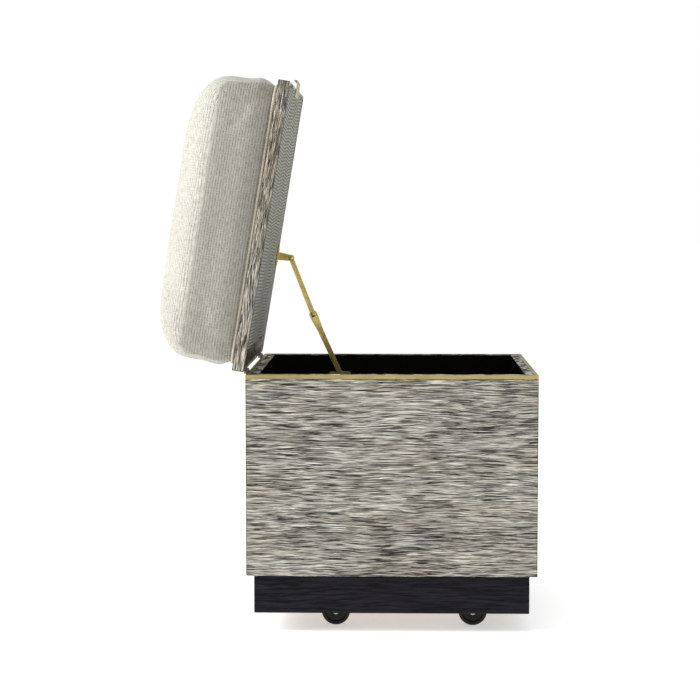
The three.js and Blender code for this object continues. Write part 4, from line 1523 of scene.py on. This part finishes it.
    def lay_weave(self, obj: Object) -> None:
        """Writes the weave map: threads run straight up each panel and straight over the strip; it also marks the
        side panels, where the linen is given painted shade.
        """
        mesh = obj.data
        places = self.coordinates(obj)
        panel = np.stack([places[:, 2] + 0.9, places[:, 1]], 1)
        corners = np.zeros(len(mesh.loops), np.int32)
        mesh.loops.foreach_get("vertex_index", corners)
        totals = np.zeros(len(mesh.polygons), np.int32)
        mesh.polygons.foreach_get("loop_total", totals)
        centres = np.zeros(len(mesh.polygons) * 3, np.float32)
        mesh.polygons.foreach_get("center", centres)
        x, y, h = np.abs(centres.reshape(-1, 3)).T
        side = self.panel_from * self.half_x
        on_panel = (h < self.shoulder) & (y < self.seam_depth(h)) & (x > side)
        strip = self.strip_map(places)
        chosen = np.where(np.repeat(on_panel, totals)[:, None], panel[corners], strip[corners])
        layer = mesh.uv_layers.new(name="weave")
        layer.data.foreach_set("uv", chosen.astype(np.float32).ravel())
        # the panel attribute: 1 on the side panels and 0 on the strip, blurred over 3 mm, for the linen's painted
        # shade
        x, y, h = np.abs(places).T
        blur = 3 * MM
        below = np.clip((self.shoulder - h) / blur + 0.5, 0, 1)
        between = np.clip((self.seam_depth(h) - y) / blur + 0.5, 0, 1)
        turned = mesh.attributes.new("panel", "FLOAT", "POINT")
        turned.data.foreach_set("value", (below * between * (x > side)).astype(np.float32))

    def seam_pieces(self, cover: Object, thread: Material) -> None:
        """Rows of stitches sunk in the corner seams; along the shoulder the seam is only a crease.

        Args:
            cover: the finished cover, about the middle of its foot.
            thread: the stitches' material.
        """
        for side, hand in ((-1, "left"), (1, "right")):
            line = self.seam_on(cover, side)
            points = [LID_FRAME @ self.to_lid(*(point - normal * 0.1 * MM)) for point, normal in line]
            on_corner = [point.z < self.shoulder - self.seam_corner / 2 for point, _ in line]
            edges = [(i, i + 1) for i in range(len(line) - 1) if on_corner[i] and on_corner[i + 1]]
            obj = mesh_from(f"cushion_stitches_{hand}", points, edges=edges)
            grow(obj, stitch_tree(), Pitch=3.6 * MM, Thread_length=3.4 * MM, Thread_radius=0.55 * MM,
                 Material=thread)
            hand_over(obj, "lid")

    def piping_path(self, half_x: float, half_y: float, corner: float) -> list[tuple[float, float]]:
        """The closed line of the piping about its middle.

        Args:
            half_x: half its width, to the cord's middle.
            half_y: half its length.
            corner: its corners' radius.

        Returns:
            The line's points, with corners of the same number of parts.
        """
        path: list[tuple[float, float]] = []
        spots = ((1, 1, 0), (-1, 1, 90), (-1, -1, 180), (1, -1, 270))
        reach_x, reach_y, run = half_x - corner, half_y - corner, self.piping_run
        for (sx, sy, start), (tx, ty, _) in zip(spots, spots[1:] + spots[:1]):
            path += arc((sx * reach_x, sy * reach_y), corner, start, start + 90, 12)
            x, y = path[-1]
            over_x = tx * reach_x - x if start % 180 == 0 else 0.0
            over_y = ty * reach_y - y if start % 180 == 90 else 0.0
            path += [(x + over_x * step / run, y + over_y * step / run) for step in range(1, run)]
        return path

    def piping(self, cloth: Material) -> None:
        """The welt cord round the foot, with its cloth laid along it."""
        low, high = lid_box("piping")
        middle, around = (low + high) / 2, self.piping_around
        radius = (high.z - low.z) / 2
        half = (high - low) / 2
        path = self.piping_path(half.x - radius, half.y - radius, self.piping_corner - radius)
        count = len(path)
        points, lengths = [], [0.0]
        for index, (x, y) in enumerate(path):
            before, after = path[index - 1], path[(index + 1) % count]
            along = Vector((after[0] - before[0], after[1] - before[1], 0)).normalized()
            outward = Vector((along.y, -along.x, 0))
            ripple = 1 - 0.04 * abs(noise.noise(Vector((x, y, 0.3)) * 60))
            for step in range(around):
                turn = 2 * math.pi * step / around
                spoke = outward * math.cos(turn) + Vector((0, 0, math.sin(turn)))
                points.append(Vector((x, y, 0)) + middle + spoke * radius * ripple)
            lengths.append(lengths[-1] + math.dist(path[index], after))
        maps = []
        for here, there in zip(lengths, lengths[1:]):
            for step in range(around):
                low_v, high_v = (2 * math.pi * radius * value / around for value in (step, step + 1))
                maps += [here, low_v, here, high_v, there, high_v, there, low_v]
        cord = mesh_from("cushion_piping", points, bridge(count, around, closed=True))
        cord.data.uv_layers.new(name="weave").data.foreach_set("uv", maps)
        edit(cord, lambda shape: bmesh.ops.recalc_face_normals(shape, faces=shape.faces))
        cord.data.shade_smooth()
        place_in_lid(cord)
        hand_over(cord, "lid", cloth, ["piping"])

    def build(self) -> None:
        """Makes the cover, its seams and its piping."""
        linen = SlubLinen("slub_linen").make()
        cloth = FineCloth("piping_cloth").make()
        thread = FineCloth("seam_thread", paint(190, 172, 140), paint(150, 132, 102)).make()
        cover = self.form(self.start_inset)
        remesh = cover.modifiers.new("even_faces", "REMESH")
        remesh.mode = "VOXEL"
        remesh.voxel_size = self.voxel
        bake_modifiers(cover)
        self.swell(cover)
        finer = cover.modifiers.new("finer", "SUBSURF")
        finer.levels = finer.render_levels = 1
        bake_modifiers(cover)
        cover.vertex_groups.clear()
        self.pinch(cover)
        self.lay_weave(cover)
        cover.data.shade_smooth()
        self.seam_pieces(cover, thread)
        cover.data.transform(Matrix.Translation(self.to_lid(0, 0, 0)))
        place_in_lid(cover)
        hand_over(cover, "lid", linen, ["cushion", "foam_core"])
        self.piping(cloth)


# ---------------------------------------------------------------- stay


@dataclass
class Stay:
    """Two brass arms between a bracket under the lid and a bracket on the lined wall."""

    round_over: float = 3.2 * MM
    thinning: float = 3.0
    edge: float = 0.35 * MM
    fine_edge: float = 0.2 * MM
    screw_radius: float = 2.4 * MM
    foot_plate: float = 2 * MM
    lid_flange: float = 2.5 * MM

    def rounded_face(self, obj: Object) -> None:
        """Rolls over the long edges of an arm's inner face, deeper across than through it."""
        spread = Matrix.Diagonal((self.thinning, 1, 1, 1))
        lowest = min(vertex.co.x for vertex in obj.data.vertices)

        def roll(shape: bmesh.types.BMesh) -> None:
            """Bevels the edges that lie on the inner face's outline."""
            shape.transform(spread)
            rim = []
            for loop_edge in shape.edges:
                on_face = all(abs(v.co.x - lowest * self.thinning) < 1e-5 for v in loop_edge.verts)
                if on_face and len(loop_edge.link_faces) == 2 and loop_edge.calc_face_angle(0) > 1.0:
                    rim.append(loop_edge)
            bmesh.ops.bevel(
                shape, geom=rim, offset=self.round_over, segments=5, profile=0.5, affect="EDGES",
                clamp_overlap=True,
            )
            shape.transform(spread.inverted())

        edit(obj, roll)

    def build(self) -> None:
        """Dresses the arms, brackets and rivets and adds the brackets' screws."""
        gold = paint(228, 206, 126)
        dull = paint(172, 150, 78)
        arms = Metal("stay_brass", gold, dull, 0.26, 0.5, 0.4, along=Along.Z).make()
        brackets = Metal("bracket_brass", paint(208, 186, 106), dull, wear=0.45, along=Along.Y).make()
        refined("stay_foot_bracket", brackets, self.edge)
        refined("stay_foot_rivet", arms, self.fine_edge)
        refined("stay_lower_arm", arms, self.edge)
        refined("stay_upper_arm", arms, self.fine_edge, shape=self.rounded_face)
        refined("stay_elbow_rivet", arms, self.fine_edge)
        refined("stay_lid_bracket", brackets, self.edge)
        refined("stay_lid_rivet", arms, self.fine_edge)
        low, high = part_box("stay_foot_bracket")
        on_box = Screws("stay_screws_box", "box", "stay_brass", radius=self.screw_radius, seed=4)
        plate, edge, corner = self.foot_plate, 6 * MM, 5 * MM
        for z in (high.z - edge, low.z + edge):
            on_box.add((high.x - plate, high.y - edge, z), (-1, 0, 0))
        on_box.add((high.x - plate, low.y + corner, low.z + corner), (-1, 0, 0))
        on_box.build(brackets)
        low, high = lid_box("stay_lid_bracket")
        on_lid = Screws("stay_screws_lid", "lid", "stay_brass", radius=self.screw_radius, seed=6)
        end, across = 7 * MM, 5.5 * MM
        for y in (low.y + end, high.y - end):
            on_lid.add((low.x + across, y, high.z - self.lid_flange), (0, 0, -1), LID_FRAME)
        on_lid.build(brackets)


# ---------------------------------------------------------------- studio


@dataclass
class Studio:
    """Pale floor, soft light and the camera."""

    camera_place: tuple[float, float, float] = (-3.29, -0.0759, 0.6613)
    camera_yaw: float = 0.0238
    camera_tilt: float = 0.07185
    lens: float = 103.16
    middle: tuple[float, float, float] = (0, 0, 0.45)
    floor_radius: float = 30.0
    floor_steps: int = 96
    floor_glow: float = 0.5
    sky: float = 0.54

    def build_camera(self) -> None:
        """Makes the camera: level lens on the left side of the object, turned slightly down."""
        data = bpy.data.cameras.new("camera")
        data.sensor_width = 36
        data.lens = self.lens
        data.clip_start, data.clip_end = 0.05, 200
        camera = new_object("camera", data)
        level = math.cos(self.camera_tilt)
        ahead = Vector((
            math.cos(self.camera_yaw) * level,
            math.sin(self.camera_yaw) * level,
            -math.sin(self.camera_tilt),
        ))
        camera.location = self.camera_place
        camera.rotation_euler = ahead.to_track_quat("-Z", "Y").to_euler()
        bpy.context.scene.camera = camera

    def add_light(self, name: str, place: Sequence[float], size: float, power: float) -> None:
        """Adds a square soft light that faces the middle of the object.

        Args:
            name: the light's name.
            place: where it stands.
            size: its side, in metres.
            power: its power, in watts.
        """
        data = bpy.data.lights.new(name, "AREA")
        data.shape = "SQUARE"
        data.size = size
        data.energy = power
        light = new_object(name, data)
        light.location = place
        light.rotation_euler = (Vector(self.middle) - Vector(place)).to_track_quat("-Z", "Y").to_euler()

    def build_floor(self) -> None:
        """A wide pale floor."""
        steps, radius = self.floor_steps, self.floor_radius
        turns = [2 * math.pi * step / steps for step in range(steps)]
        rim = [(radius * math.cos(turn), radius * math.sin(turn), 0) for turn in turns]
        floor = mesh_from("floor", rim, [tuple(range(steps))])
        finish = Finish("pale_floor")
        graph = finish.graph
        patch = graph.noise(finish.place(), (3, 3, 3))
        finish.set(Base_Color=graph.mix(patch, paint(246, 246, 246), paint(252, 252, 252)), Roughness=0.9)
        finish.set(Emission_Color=(1.0, 1.0, 1.0), Emission_Strength=self.floor_glow)
        floor.data.materials.append(finish.material)

    def build(self) -> None:
        """Makes the whole studio."""
        scene = bpy.context.scene
        scene.view_settings.view_transform = "Standard"
        world = bpy.data.worlds.new("studio")
        world.use_nodes = True
        graph = Graph(world.node_tree)
        seen = graph.add("ShaderNodeLightPath").outputs["Is Camera Ray"]
        strength = graph.ramp(seen, 0.0, 1.0, self.sky, 1.0)
        background = world.node_tree.nodes["Background"]
        background.inputs["Color"].default_value = (1, 1, 1, 1)
        world.node_tree.links.new(strength, background.inputs["Strength"])
        scene.world = world
        self.build_camera()
        self.build_floor()
        self.add_light("key", (-0.7, 3.0, 1.7), 1.4, 104)
        self.add_light("top", (-0.7, 0.2, 3.2), 2.4, 30)
        self.add_light("fill", (-1.8, -2.6, 1.3), 2.0, 8)


def main() -> None:
    """Builds the ottoman and its studio."""
    logging.basicConfig(level=logging.INFO, format="%(name)s: %(message)s")
    Studio().build()
    for assembly in (Box(), Plinth(), Casters(), Hinges(), Lid(), Cushion(), Stay()):
        assembly.build()


if __name__ == "__main__":
    main()
